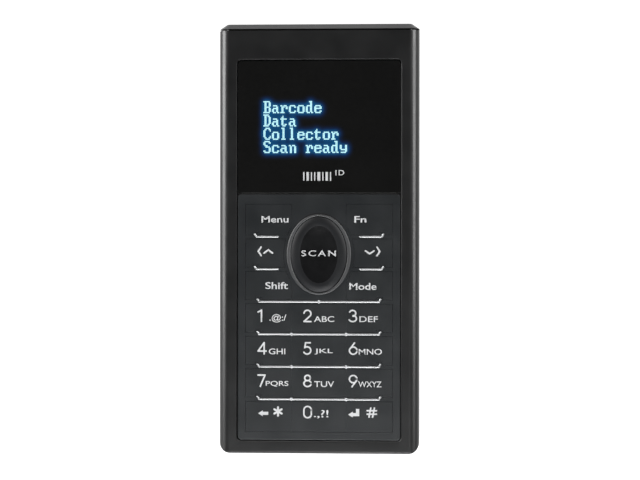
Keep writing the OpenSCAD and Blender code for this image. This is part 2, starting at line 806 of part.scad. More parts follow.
module scan_key() {
    a = ring_a - ring_side_w - key_gap;
    b = ring_b - ring_end_w - key_gap;
    steps = 48;
    shares = [0.3, 0.6, 0.85, 1, 1.12, border_crest, 1.5, 1.7, 1.87, 2];
    rings = len(shares);
    tops = [for (t = shares, i = [0:steps - 1]) let (u = 360 * i / steps)
        [scan_key_axis(t, a) * cos(u), scan_y + scan_key_axis(t, b) * sin(u), scan_key_z(t)]];
    base = [for (i = [0:steps - 1]) let (u = 360 * i / steps)
        [a * cos(u), scan_y + b * sin(u), lip_top - eps]];
    centre = (rings + 1) * steps;
    color([0.07, 0.07, 0.075]) {
        polyhedron(
            points = concat(tops, base, [[0, scan_y, scan_key_z(0)], [0, scan_y, lip_top - eps]]),
            faces = concat(
                [for (i = [0:steps - 1]) [centre, (i + 1) % steps, i]],
                [for (r = [0:rings - 1], i = [0:steps - 1]) let (n = (i + 1) % steps)
                    [r * steps + i, r * steps + n, (r + 1) * steps + n]],
                [for (r = [0:rings - 1], i = [0:steps - 1]) let (n = (i + 1) % steps)
                    [r * steps + i, (r + 1) * steps + n, (r + 1) * steps + i]],
                [for (i = [0:steps - 1]) [centre + 1, rings * steps + i,
                    rings * steps + (i + 1) % steps]]));
        ellipse_slab(a + key_lip + key_gap, b + key_lip + key_gap, lip_bottom, lip_top);
    }
}

// Centre of each key's pad, plunger and dome
function key_centre(r, c) = [(cell_x0(c) + cell_x1(c)) / 2, (row_y0(r) + row_y1(r)) / 2];

module key_mat() {
    pad_inset = 1;
    color([0.35, 0.36, 0.38]) {
        slab(-mat_x, mat_y0, mat_x, mat_y1, 1, mat_bottom, mat_top);
        difference() {
            slab(-mat_x, mat_y0, mat_x, mat_y1, 1, board_top, mat_bottom + eps);
            slab(-mat_x + mat_skirt_w, mat_y0 + mat_skirt_w, mat_x - mat_skirt_w,
                mat_y1 - mat_skirt_w, 0.5, 0, body_t);
        }
        for (k = KEYS)
            translate([0, 0, mat_top - eps]) linear_extrude(mat_pad_h + eps)
                cell(k[1], k[2], -pad_inset);
        ellipse_slab(ring_a - ring_side_w - pad_inset, ring_b - ring_end_w - pad_inset,
            mat_top - eps, mat_top + mat_pad_h);
        for (k = KEYS) let (p = dome_centre(k[1], k[2]))
            drum(p[0], p[1], plunger_r, board_top + dome_h + plunger_gap, mat_bottom + eps, 24);
        drum(0, scan_y, 2 * plunger_r, board_top + dome_h + plunger_gap, mat_bottom + eps);
    }
}

// A function key's dome sits further out than the centre of its cell, clear of the ring
function dome_centre(r, c) = let (p = key_centre(r, c))
    r < number_rows ? p : [sign(p[0]) * (key_x + ring_a + ring_margin) / 2, p[1]];

module dome_sheet() {
    edge = mat_skirt_w + 0.3;
    color([0.75, 0.75, 0.72]) {
        slab(-mat_x + edge, mat_y0 + edge, mat_x - edge, mat_y1 - edge, 0.4,
            board_top, board_top + film_t);
        for (k = KEYS) let (p = dome_centre(k[1], k[2]))
            translate([p[0], p[1], board_top + film_t - eps])
                cylinder(h = dome_h - film_t, r1 = dome_r, r2 = dome_r * 0.7, $fn = 32);
        translate([0, scan_y, board_top + film_t - eps])
            cylinder(h = dome_h - film_t, r1 = dome_r * 1.4, r2 = dome_r, $fn = 32);
    }
}

module main_board() {
    notch = boss_r + 0.5;
    color([0.05, 0.25, 0.12]) difference() {
        translate([0, 0, board_bottom]) linear_extrude(board_t) intersection() {
            polygon(plan_points(wall + board_gap));
            translate([-body_w, -body_l])
                square([2 * body_w, body_l + cap_y - spigot_l - 0.4]);
        }
        for (p = SCREWS) let (s = sign(p[0]), e = p[1] > 0 ? 1 : -1)
            span([min(p[0] - s * notch, s * half_w), min(p[1] - e * notch, e * body_l), 0],
                [max(p[0] - s * notch, s * half_w), max(p[1] - e * notch, e * body_l), body_t]);
        for (s = [-1, 1])
            drum(s * board_screw_x, plate_y1, board_screw_r + shank_gap, 0, body_t);
    }
}

// A chip under the board, given by its centre and its three sizes
module chip(x, y, w, l, h) {
    span([x - w / 2, y - l / 2, board_bottom - h], [x + w / 2, y + l / 2, board_bottom]);
}

module board_chips() {
    chip_h = 1.1;
    row_y = battery_y0 + battery_l - 8;
    color([0.08, 0.08, 0.09]) {
        chip(-9, row_y, 9, 9, chip_h);
        chip(6, row_y, 7, 6, chip_h);
        chip(13.5, row_y - 1, 4, 4, 0.9);
        chip(-9, row_y - 11, 6, 4, 0.9);
        // A row of small capacitors, a crystal, and the ribbon's connector
        for (i = [0:4]) chip(3 + 2 * i, row_y - 6, 1, 0.6, 0.5);
        chip(5, row_y - 11, 3.2, 1.5, 0.8);
        chip(0, engine_y0 - 4.2, ribbon_w + 1, 2.2, 1);
    }
}

module radio_module() {
    color([0.7, 0.7, 0.68]) {
        chip(-9, battery_y0 + 11, 11, 9, 1.8);
        // Antenna strip at the module's edge
        chip(-9, battery_y0 + 4.8, 11, 2.6, 0.6);
    }
}

module display_panel() {
    color([0.03, 0.03, 0.04]) span([-display_x, display_y0, display_z0],
        [display_x, display_y1, display_top]);
}

module display_holder() {
    color([0.1, 0.1, 0.1]) difference() {
        span([-display_x - holder_wall - 0.05, display_y0 - holder_wall - 0.05, board_top],
            [display_x + holder_wall + 0.05, display_y1 + holder_wall + 0.05, display_top]);
        span([-display_x - 0.05, display_y0 - 0.05, display_z0 - 0.05],
            [display_x + 0.05, display_y1 + 0.05, body_t]);
        // Slot for the ribbon, and a hollow under the panel
        span([-flex_w / 2 - 0.3, display_y0 - 3, board_top - 1],
            [flex_w / 2 + 0.3, display_y0 + 2, body_t]);
        span([-display_x + 2, display_y0 + 4, board_top - 1],
            [display_x - 2, display_y1 - 2, body_t]);
    }
}

module display_gasket() {
    gasket_w = 1.2;
    color([0.07, 0.07, 0.07]) difference() {
        span([-display_x, display_y0, display_top + 0.02],
            [display_x, display_y1, panel_bottom - 0.02]);
        span([-display_x + gasket_w, display_y0 + gasket_w, 0],
            [display_x - gasket_w, display_y1 - gasket_w, body_t]);
    }
}

module display_flex() {
    tail = 0.8;
    rise_y = display_y0 - tail;
    color([0.75, 0.42, 0.1]) {
        span([-flex_w / 2, rise_y, display_z0 + 0.4],
            [flex_w / 2, display_y0 - 0.02, display_z0 + 0.4 + flex_t]);
        span([-flex_w / 2, rise_y, board_top + 0.05],
            [flex_w / 2, rise_y + flex_t, display_z0 + 0.4 + flex_t]);
        span([-flex_w / 2, rise_y, board_top + 0.05],
            [flex_w / 2, display_y0 + 1.6, board_top + 0.05 + flex_t]);
    }
}

module engine_chassis() {
    color([0.5, 0.5, 0.52]) difference() {
        span([-engine_w / 2, engine_y0, engine_bottom], [engine_w / 2, engine_y1, chassis_top]);
        span([-engine_w / 2 + engine_wall, engine_y0 + engine_wall, engine_bottom + engine_wall],
            [engine_w / 2 - engine_wall, engine_y1 + 1, body_t]);
        // Seat for the foot of the mirror's pin
        drum(pivot_x, pivot_y, pivot_r + 0.02, engine_bottom + 0.3, body_t);
    }
}

module engine_board() {
    color([0.04, 0.2, 0.1]) {
        span([-engine_w / 2, engine_y0, chassis_top], [engine_w / 2, engine_y1, engine_top]);
        // Light sensor under the board, looking out of the nose
        span([-8.4, engine_y1 - 3.6, chassis_top - 2.6], [-5.4, engine_y1 - 2.4, chassis_top]);
    }
}

module laser_module() {
    barrel_r = 1.6;
    color([0.72, 0.6, 0.3]) {
        translate([-engine_w / 2 + engine_wall + 0.1, pivot_y, engine_mid_z]) rotate([0, 90, 0])
            cylinder(h = 5.4, r = barrel_r, $fn = 40);
        span([-engine_w / 2 + engine_wall + 0.6, pivot_y - 2.2, engine_bottom + engine_wall],
            [-engine_w / 2 + engine_wall + 4.6, pivot_y + 2.2, engine_mid_z]);
    }
}

module scan_mirror() {
    z0 = engine_mid_z - mirror_h / 2;
    color([0.82, 0.84, 0.88]) difference() {
        union() {
            drum(pivot_x, pivot_y, mirror_hub_r, z0, z0 + mirror_h);
            translate([pivot_x, pivot_y, 0]) rotate(mirror_angle) {
                span([-mirror_l / 2, mirror_hub_r - 0.4, z0],
                    [mirror_l / 2, mirror_hub_r - 0.4 + mirror_t, z0 + mirror_h]);
                // Arm with the drive magnet
                span([-0.8, -3.4, engine_mid_z - 1], [0.8, 0, engine_mid_z + 1]);
            }
        }
        drum(pivot_x, pivot_y, pivot_r + pivot_gap, 0, body_t);
    }
}

module mirror_pivot() {
    color([0.7, 0.7, 0.72])
        drum(pivot_x, pivot_y, pivot_r, engine_bottom + 0.35, chassis_top - 0.05);
}

module drive_coil() {
    coil_r = 1.9;
    color([0.72, 0.4, 0.2]) translate([pivot_x, pivot_y, engine_mid_z]) rotate(mirror_angle)
        translate([0, -4.1, 0]) rotate([90, 0, 0]) difference() {
            cylinder(h = 1.2, r = coil_r, $fn = 40);
            translate([0, 0, -1]) cylinder(h = 4, r = coil_r / 2, $fn = 32);
        }
}

module engine_flex() {
    z1 = board_bottom - 0.5;
    color([0.75, 0.42, 0.1]) {
        span([-ribbon_w / 2, engine_y0 - 3, z1 - flex_t], [ribbon_w / 2, engine_y0 - 0.6, z1]);
        span([-ribbon_w / 2, engine_y0 - 0.6, engine_top - 3],
            [ribbon_w / 2, engine_y0 - 0.6 + flex_t, z1]);
    }
}

module battery() {
    color([0.12, 0.22, 0.45]) {
        slab(-battery_w / 2, battery_y0, battery_w / 2, battery_y0 + battery_l - 2.5, 1,
            battery_z0, battery_z0 + battery_t);
        // Protection circuit, wrapped at the nose end
        span([-battery_w / 2 + 2, battery_y0 + battery_l - 2.5 - eps, battery_z0 + 0.8],
            [battery_w / 2 - 2, battery_y0 + battery_l, battery_z0 + battery_t - 0.8]);
    }
}

module battery_pad() {
    color([0.2, 0.2, 0.2]) slab(-battery_w / 2 + 2, battery_y0 + 2, battery_w / 2 - 2,
        battery_y0 + battery_l - 4, 1, back_skin, battery_z0);
}

module battery_contacts() {
    block_w = 9;
    color([0.82, 0.68, 0.3]) {
        span([-block_w / 2, contacts_y, board_bottom - 3],
            [block_w / 2, contacts_y + 3, board_bottom]);
        // Spring blades that reach down to the battery's terminals
        for (i = [-1:1]) {
            span([3 * i - 0.6, contacts_y - 0.25, battery_z0 + battery_t / 2],
                [3 * i + 0.6, contacts_y + eps, board_bottom - 0.4]);
            span([3 * i - 0.6, contacts_y - 2 - bay_gap + 0.05, battery_z0 + battery_t / 2],
                [3 * i + 0.6, contacts_y - 0.2, battery_z0 + battery_t / 2 + 0.2]);
        }
    }
}

module usb_socket() {
    y0 = tail_y + socket_recess;
    color([0.72, 0.72, 0.74]) difference() {
        bar_along_y(-socket_w / 2, socket_z0, socket_w / 2, board_bottom - 0.02, 0.5, y0, y0 + socket_l);
        bar_along_y(-socket_w / 2 + 0.3, socket_z0 + 0.3, socket_w / 2 - 0.3, board_bottom - 0.32,
            0.3, y0 - 1, y0 + socket_l - 0.8);
    }
    color([0.1, 0.1, 0.1]) span([-socket_w / 2 + 1.6, y0 + 1, board_bottom - 1.5],
        [socket_w / 2 - 1.6, y0 + socket_l - 0.7, board_bottom - 0.9]);
}

// A rounded bar along Y, drawn in X and Z
module bar_along_y(x0, z0, x1, z1, r, y0, y1) {
    translate([0, y1, 0]) rotate([90, 0, 0]) linear_extrude(y1 - y0)
        round_rect(x0, z0, x1, z1, r);
}

module buzzer() {
    color([0.1, 0.1, 0.1]) difference() {
        drum(buzzer_x, rear_parts_y, buzzer_r, back_skin + 0.02, back_skin + buzzer_h);
        drum(buzzer_x, rear_parts_y, 1.2, back_skin - 1, back_skin + 1.2, 32);
    }
}

module vibration_motor() {
    color([0.68, 0.68, 0.7]) {
        drum(motor_x, rear_parts_y, motor_r, back_skin + 0.02, back_skin + motor_h);
        drum(motor_x, rear_parts_y, 1, back_skin + motor_h - eps, back_skin + motor_h + 0.2, 32);
    }
}

module backup_cell() {
    color([0.74, 0.74, 0.75]) {
        drum(9, battery_y0 + 9, 3.4, board_bottom - 1.4, board_bottom - 0.15);
        drum(9, battery_y0 + 9, 1.6, board_bottom - 0.16, board_bottom, 32);
    }
}

module rating_label() {
    color([0.8, 0.8, 0.8]) slab(-label_w / 2 + 0.2, label_y - label_l / 2 + 0.2,
        label_w / 2 - 0.2, label_y + label_l / 2 - 0.2, 1.3,
        label_recess - label_t, label_recess);
}

front_housing();
rear_housing();
nose_cap();
scan_window();
scan_window_seal();
case_seal();
case_screws();
display_window();
panel_adhesive();
keypad_plate();
row_bars();
scan_key_ring();
scan_key();
for (k = KEYS) key(k[1], k[2]);
key_mat();
dome_sheet();
main_board();
board_screws();
board_chips();
radio_module();
display_panel();
display_holder();
display_gasket();
display_flex();
engine_chassis();
engine_board();
laser_module();
scan_mirror();
mirror_pivot();
drive_coil();
engine_flex();
battery();
battery_pad();
battery_contacts();
usb_socket();
buzzer();
vibration_motor();
backup_cell();
rating_label();
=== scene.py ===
"""Looks of a handheld barcode data collector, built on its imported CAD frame.

The device lies on its back: +Z points out of the front face and +Y runs towards the
nose. Places come from the frame's own boxes, and every size is in metres, written as
millimetres times MM.
"""

import json
import logging
import math
from collections.abc import Callable
from dataclasses import dataclass, field
from enum import Enum

import bmesh
import bpy
import numpy as np
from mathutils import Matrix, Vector


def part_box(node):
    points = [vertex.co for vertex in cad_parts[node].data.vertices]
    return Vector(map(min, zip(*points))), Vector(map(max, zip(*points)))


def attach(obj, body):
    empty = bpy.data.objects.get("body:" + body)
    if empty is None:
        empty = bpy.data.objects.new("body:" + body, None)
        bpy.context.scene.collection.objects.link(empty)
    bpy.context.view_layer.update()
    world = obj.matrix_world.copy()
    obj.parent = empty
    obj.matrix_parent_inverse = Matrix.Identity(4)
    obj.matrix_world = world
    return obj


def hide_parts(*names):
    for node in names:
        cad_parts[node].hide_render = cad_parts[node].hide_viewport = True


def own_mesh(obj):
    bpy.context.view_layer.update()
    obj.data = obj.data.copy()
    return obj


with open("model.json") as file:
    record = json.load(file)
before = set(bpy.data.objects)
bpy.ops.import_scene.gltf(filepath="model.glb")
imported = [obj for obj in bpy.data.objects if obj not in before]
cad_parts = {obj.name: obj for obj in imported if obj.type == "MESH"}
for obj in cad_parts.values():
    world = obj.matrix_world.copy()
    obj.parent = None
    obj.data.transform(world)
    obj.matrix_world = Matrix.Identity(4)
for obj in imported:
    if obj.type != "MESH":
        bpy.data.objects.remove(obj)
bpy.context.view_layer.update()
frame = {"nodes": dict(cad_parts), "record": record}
NODES: dict[str, bpy.types.Object] = frame["nodes"]
BODY = "body"
MM = 0.001
WELD = 0.0005 * MM
FLAT = math.radians(0.6)
SHARP = math.radians(28)
CLOUD, WIPE, SPECK = 14 * MM, 7 * MM, 1.1 * MM
EdgeTest = Callable[[Vector, Vector], bool]
log = logging.getLogger("data_collector")


# --------------------------------------------------------------------------- finishes


class Grain(Enum):
    """The way a surface breaks up light close to."""

    MOULDED = "spark-eroded mould texture"
    POLISHED = "polished, with faint smears"
    BRUSHED = "fine lines along the body"
    POROUS = "open cells"


@dataclass(frozen=True)
class Finish:
    """One procedural finish, mixed from noise in object space.

    Attributes:
        name: The material's name.
        colour: Linear base colour.
        roughness: Mean roughness.
        metallic: 0 for plastics and 1 for metals.
        grain: The kind of fine relief.
        grain_size: Size of one grain, in metres.
        grain_depth: Depth of the relief, in metres.
        mottle: Share by which the colour wanders.
        smear: Amount by which the roughness wanders.
        coat: Weight of a clear coat.
        specular: Reflectivity of the plastic at normal view.
        glow: Emission colour.
        glow_strength: Emission strength.
    """

    name: str
    colour: tuple[float, float, float]
    roughness: float
    metallic: float = 0.0
    grain: Grain = Grain.MOULDED
    grain_size: float = 0.16 * MM
    grain_depth: float = 0.004 * MM
    mottle: float = 0.12
    smear: float = 0.05
    coat: float = 0.0
    specular: float = 0.5
    glow: tuple[float, float, float] = (0.0, 0.0, 0.0)
    glow_strength: float = 0.0

    def material(self) -> bpy.types.Material:
        """Return the finish's material, made on first use."""
        found = bpy.data.materials.get(self.name)
        if found:
            return found
        made = bpy.data.materials.new(self.name)
        made.use_nodes = True
        nodes, links = made.node_tree.nodes, made.node_tree.links
        shader = nodes["Principled BSDF"]
        shader.inputs["Metallic"].default_value = self.metallic
        shader.inputs["Coat Weight"].default_value = self.coat
        shader.inputs["Coat Roughness"].default_value = 0.06
        shader.inputs["Specular IOR Level"].default_value = self.specular
        shader.inputs["Emission Color"].default_value = (*self.glow, 1.0)
        shader.inputs["Emission Strength"].default_value = self.glow_strength
        place = nodes.new("ShaderNodeTexCoord").outputs["Object"]
        cloud = self._noise(made, place, CLOUD, 3.0)
        speck = self._noise(made, place, SPECK, 2.0)
        mixed = nodes.new("ShaderNodeMath")
        mixed.operation = "ADD"
        links.new(cloud, mixed.inputs[0])
        links.new(speck, mixed.inputs[1])
        shade = self._remap(
            made, mixed.outputs[0], (0.7, 1.3), (1 - self.mottle, 1 + self.mottle))
        tint = nodes.new("ShaderNodeMix")
        tint.data_type, tint.blend_type = "RGBA", "MULTIPLY"
        tint.inputs["Factor"].default_value = 1.0
        tint.inputs["A"].default_value = (*self.colour, 1.0)
        links.new(shade, tint.inputs["B"])
        links.new(tint.outputs["Result"], shader.inputs["Base Color"])
        wipe = self._noise(made, place, WIPE, 4.0)
        smoothest = max(self.roughness - self.smear, 0.02)
        rough = self._remap(made, wipe, (0.3, 0.7), (smoothest, self.roughness + self.smear))
        links.new(rough, shader.inputs["Roughness"])
        self._relief(made, place, shader)
        return made

    @staticmethod
    def _noise(
        made: bpy.types.Material, place: bpy.types.NodeSocket, size: float, detail: float
    ) -> bpy.types.NodeSocket:
        """Return a noise of the given grain size, in metres."""
        noise = made.node_tree.nodes.new("ShaderNodeTexNoise")
        noise.inputs["Scale"].default_value = 1 / size
        noise.inputs["Detail"].default_value = detail
        made.node_tree.links.new(place, noise.inputs["Vector"])
        return noise.outputs["Fac"]

    @staticmethod
    def _remap(
        made: bpy.types.Material,
        value: bpy.types.NodeSocket,
        source: tuple[float, float],
        target: tuple[float, float],
    ) -> bpy.types.NodeSocket:
        """Return value, carried from the source range to the target range and clamped."""
        node = made.node_tree.nodes.new("ShaderNodeMapRange")
        for name, number in zip(("From Min", "From Max", "To Min", "To Max"), (*source, *target)):
            node.inputs[name].default_value = number
        made.node_tree.links.new(value, node.inputs["Value"])
        return node.outputs["Result"]

    def _relief(
        self, made: bpy.types.Material, place: bpy.types.NodeSocket, shader: bpy.types.Node
    ) -> None:
        """Add the fine relief as a bump."""
        nodes, links = made.node_tree.nodes, made.node_tree.links
        if self.grain is Grain.BRUSHED:
            stretch = nodes.new("ShaderNodeMapping")
            stretch.inputs["Scale"].default_value = (1.0, 0.03, 1.0)
            links.new(place, stretch.inputs["Vector"])
            place = stretch.outputs["Vector"]
        if self.grain is Grain.POROUS:
            cells = nodes.new("ShaderNodeTexVoronoi")
            cells.inputs["Scale"].default_value = 1 / self.grain_size
            links.new(place, cells.inputs["Vector"])
            height = cells.outputs["Distance"]
        else:
            detail = 1.0 if self.grain is Grain.POLISHED else 3.0
            height = self._noise(made, place, self.grain_size, detail)
        bump = nodes.new("ShaderNodeBump")
        bump.inputs["Strength"].default_value = 1.0
        bump.inputs["Distance"].default_value = self.grain_depth
        links.new(height, bump.inputs["Height"])
        links.new(bump.outputs["Normal"], shader.inputs["Normal"])


CASE = Finish("case_black", (0.0026, 0.0029, 0.0032), 0.35, mottle=0.1, smear=0.025,
              specular=0.42)
CAP = Finish("cap_black", (0.012, 0.012, 0.0125), 0.33, mottle=0.1)
PAD = Finish("keypad_black", (0.0046, 0.0074, 0.0096), 0.37, mottle=0.12, grain_size=0.12 * MM,
             smear=0.03, specular=0.46)
SCAN_BORDER = Finish("scan_key_border", (0.0056, 0.0066, 0.0086), 0.48, mottle=0.08,
                     specular=0.19)
SCAN_DISH = Finish("scan_key_dish", (0.0086, 0.0088, 0.0096), 0.2, grain=Grain.POLISHED,
                   grain_size=6 * MM, grain_depth=0.01 * MM, mottle=0.2)
RING = Finish("scan_ring", (0.036, 0.038, 0.041), 0.48, mottle=0.08, smear=0.02,
              grain_depth=0.001 * MM)
BAR = Finish("bar_plating", (0.3, 0.305, 0.31), 0.42, metallic=1.0, grain=Grain.POLISHED,
             grain_size=0.5 * MM, grain_depth=0.002 * MM, mottle=0.06)
INK = Finish("legend_ink", (0.8, 0.81, 0.82), 0.5, grain_size=0.08 * MM,
             grain_depth=0.002 * MM, mottle=0.06)
PANE = Finish("window_pane", (0.0078, 0.0078, 0.0076), 0.09, grain=Grain.POLISHED,
              grain_size=9 * MM, grain_depth=0.004 * MM, mottle=0.15, smear=0.03)
DOTS = Finish("display_dots", (0.1, 0.12, 0.13), 0.5, mottle=0.1,
              glow=(0.5, 0.93, 0.97), glow_strength=1.1)
RED_PANE = Finish("scan_window_red", (0.17, 0.003, 0.007), 0.06, grain=Grain.POLISHED,
                  grain_size=9 * MM, grain_depth=0.003 * MM, smear=0.03, coat=0.5)
LABEL = Finish("label_film", (0.42, 0.43, 0.43), 0.4, mottle=0.06)
LABEL_INK = Finish("label_ink", (0.02, 0.02, 0.022), 0.5, mottle=0.1)

SLOT_FINISHES: dict[str, Finish] = {
    "housing_plastic": CASE,
    "cap_plastic": CAP,
    "key_plastic": PAD,
    "scan_key_plastic": SCAN_DISH,
    "ring_plastic": RING,
    "bar_metal": BAR,
    "window_plastic": PANE,
    "scan_window_red": RED_PANE,
    "rubber_black": Finish("rubber_black", (0.02, 0.02, 0.02), 0.7, mottle=0.15),
    "silicone_grey": Finish("silicone_grey", (0.25, 0.26, 0.28), 0.6, mottle=0.08),
    "adhesive_black": Finish("adhesive_black", (0.02, 0.02, 0.02), 0.8, grain=Grain.POROUS,
                             grain_size=0.3 * MM),
    "steel": Finish("steel", (0.5, 0.5, 0.51), 0.3, metallic=1.0, grain=Grain.BRUSHED),
    "tin_plate": Finish("tin_plate", (0.65, 0.65, 0.64), 0.25, metallic=1.0, grain=Grain.BRUSHED),
    "board_green": Finish("solder_mask", (0.01, 0.09, 0.04), 0.3, mottle=0.25, coat=0.4),
    "chip_black": Finish("chip_epoxy", (0.02, 0.02, 0.021), 0.55, mottle=0.15),
    "display_glass": Finish("display_glass", (0.006, 0.006, 0.012), 0.08, grain=Grain.POLISHED,
                            grain_size=8 * MM),
    "holder_plastic": Finish("holder_plastic", (0.03, 0.03, 0.03), 0.5),
    "flex_film": Finish("flex_film", (0.5, 0.21, 0.03), 0.35, mottle=0.2, coat=0.3),
    "engine_zinc": Finish("engine_zinc", (0.4, 0.41, 0.43), 0.4, metallic=1.0, mottle=0.1),
    "laser_brass": Finish("laser_brass", (0.68, 0.48, 0.2), 0.28, metallic=1.0,
                          grain=Grain.BRUSHED),
    "mirror_face": Finish("mirror_face", (0.85, 0.87, 0.9), 0.04, metallic=1.0,
                          grain=Grain.POLISHED, grain_size=8 * MM, smear=0.02),
    "coil_copper": Finish("coil_copper", (0.62, 0.25, 0.1), 0.35, metallic=1.0,
                          grain=Grain.BRUSHED),
    "battery_wrap": Finish("battery_wrap", (0.02, 0.045, 0.16), 0.3, mottle=0.15, coat=0.3),
    "foam_dark": Finish("foam_dark", (0.04, 0.04, 0.04), 0.9, grain=Grain.POROUS,
                        grain_size=0.5 * MM, grain_depth=0.05 * MM),
    "contact_gold": Finish("contact_gold", (0.8, 0.58, 0.22), 0.25, metallic=1.0),
    "label_film": LABEL,
}


# ------------------------------------------------------------------------ mesh helpers


def grid_quads(rows: int, columns: int, wrap: bool = True) -> np.ndarray:
    """Return the quads of a grid of points, row after row.

    Args:
        rows: Number of rows.
        columns: Number of points in a row.
        wrap: Whether the last column joins the first.

    Returns:
        An array of four point numbers for each quad.
    """
    row = np.arange(rows - 1)[:, None] * columns
    here = np.arange(columns if wrap else columns - 1)[None, :]
    there = (here + 1) % columns
    quads = np.stack([row + here, row + there, row + columns + there, row + columns + here], -1)
    return quads.reshape(-1, 4)


def make_piece(
    name: str,
    points: np.ndarray,
    faces: list,
    finish: Finish,
    body: str,
    slot: str,
    smooth: bool = True,
) -> bpy.types.Object:
    """Make a mesh piece at the origin that rides on a body.

    Args:
        name: The piece's name.
        points: Points, in metres, one a row.
        faces: Lists of point numbers.
        finish: The piece's finish.
        body: The body it moves with.
        slot: The record's material slot; not used.
        smooth: Whether its faces are shaded smooth.

    Returns:
        The new object, with its faces turned outwards.
    """
    mesh = bpy.data.meshes.new(name)
    places = np.asarray(points, float).reshape(-1, 3).tolist()
    mesh.from_pydata(places, [], [list(face) for face in faces])
    shell = bmesh.new()
    shell.from_mesh(mesh)
    bmesh.ops.recalc_face_normals(shell, faces=shell.faces)
    for face in shell.faces:
        face.smooth = smooth
    shell.to_mesh(mesh)
    shell.free()
    mesh.materials.append(finish.material())
    piece = bpy.data.objects.new(name, mesh)
    bpy.context.scene.collection.objects.link(piece)
    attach(piece, body)
    log.info("%s: %d faces", name, len(mesh.polygons))
    return piece


def tube(rings: np.ndarray) -> tuple[np.ndarray, list]:
    """Return a closed skin through a stack of closed rings, capped at both ends.

    Args:
        rings: Points as (ring, point in the ring, 3).

    Returns:
        The points, and the faces.
    """
    count, around = rings.shape[:2]
    faces = grid_quads(count, around).tolist()
    faces.append(list(range(around))[::-1])
    faces.append(list(range((count - 1) * around, count * around)))
    return rings.reshape(-1, 3), faces


def sideways(path: np.ndarray) -> np.ndarray:
    """Return the unit vector to the left of a flat path, at each of its points."""
    along = np.gradient(path, axis=0)
    along /= np.linalg.norm(along, axis=1, keepdims=True)
    return np.stack([-along[:, 1], along[:, 0]], -1)


def carried_on(path: np.ndarray, share: np.ndarray, reach: float) -> np.ndarray:
    """Carry a flat path straight on at both ends.

    Args:
        path: Points, as (point, 2).
        share: Places of the new points beyond an end, as rising shares of the reach.
        reach: Length of the way beyond an end.

    Returns:
        The longer path.
    """
    start = path[0] - path[1]
    start = path[0] + np.outer(share[::-1] * reach, start / np.linalg.norm(start))
    end = path[-1] - path[-2]
    end = path[-1] + np.outer(share * reach, end / np.linalg.norm(end))
    return np.concatenate([start, path, end])


def near(value: float, target: float, within: float = 0.01 * MM) -> bool:
    """Return whether a value lies within a distance of its target."""
    return abs(value - target) < within


def in_plane(axis: int, level: float) -> EdgeTest:
    """Return a test for edges that lie at one level along an axis."""
    return lambda a, b: near(a[axis], level) and near(b[axis], level)


def welded(node: str) -> bmesh.types.BMesh:
    """Return a CAD node's mesh with its points welded and its flat regions dissolved."""
    shell = bmesh.new()
    shell.from_mesh(NODES[node].data)
    bmesh.ops.remove_doubles(shell, verts=shell.verts, dist=WELD)
    bmesh.ops.dissolve_limit(shell, angle_limit=FLAT, verts=shell.verts, edges=shell.edges)
    return shell


@dataclass
class Softening:
    """A rounding of some of a CAD copy's sharp edges.

    Attributes:
        width: Width of the rounding, in metres.
        picks: Says whether an edge between two points is rounded.
        steps: Number of strips across the rounding.
    """

    width: float
    picks: EdgeTest
    steps: int = 3


def merged_copy(
    node: str,
    finish: Finish,
    softenings: tuple[Softening, ...] = (),
    grow: float = 0.0,
    body: str = BODY,
) -> bpy.types.Object:
    """Copy a CAD node as one welded, smoothly shaded piece that stands for it.

    Where grow isn't 0, each point moves outwards by grow along every upright wall that
    it belongs to. Then the chosen edges are rounded, and normals are weighted by area.

    Args:
        node: The CAD node.
        finish: The finish of the copy.
        softenings: The edges to round, and by how much.
        grow: Outward shift of the upright walls, in metres.
        body: The body it moves with.

    Returns:
        The new object.
    """
    shell = welded(node)
    if grow:
        shell.normal_update()
        for point in shell.verts:
            walls: list[Vector] = []
            for face in point.link_faces:
                side = Vector((face.normal.x, face.normal.y, 0))
                if abs(face.normal.z) < 0.2 and all(side.dot(w) < 0.9 for w in walls):
                    walls.append(side.normalized())
            point.co += sum(walls, Vector()) * grow
    for softening in softenings:
        shell.normal_update()
        picked = [
            edge
            for edge in shell.edges
            if len(edge.link_faces) == 2
            and edge.calc_face_angle(0) > SHARP
            and softening.picks(edge.verts[0].co, edge.verts[1].co)
        ]
        bmesh.ops.bevel(
            shell, geom=picked, offset=softening.width, segments=softening.steps,
            profile=0.5, affect="EDGES", clamp_overlap=False,
        )
    shell.normal_update()
    for face in shell.faces:
        face.smooth = True
    for edge in shell.edges:
        edge.smooth = len(edge.link_faces) != 2 or edge.calc_face_angle(0) < SHARP
    mesh = bpy.data.meshes.new(node + "_look")
    shell.to_mesh(mesh)
    shell.free()
    mesh.materials.append(finish.material())
    piece = bpy.data.objects.new(node + "_look", mesh)
    bpy.context.scene.collection.objects.link(piece)
    weigh = piece.modifiers.new("weighted_normals", "WEIGHTED_NORMAL")
    weigh.keep_sharp = True
    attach(piece, body)
    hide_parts(node)
    log.info("%s: %d faces", piece.name, len(mesh.polygons))
    return piece


# -------------------------------------------------------------------------- the print


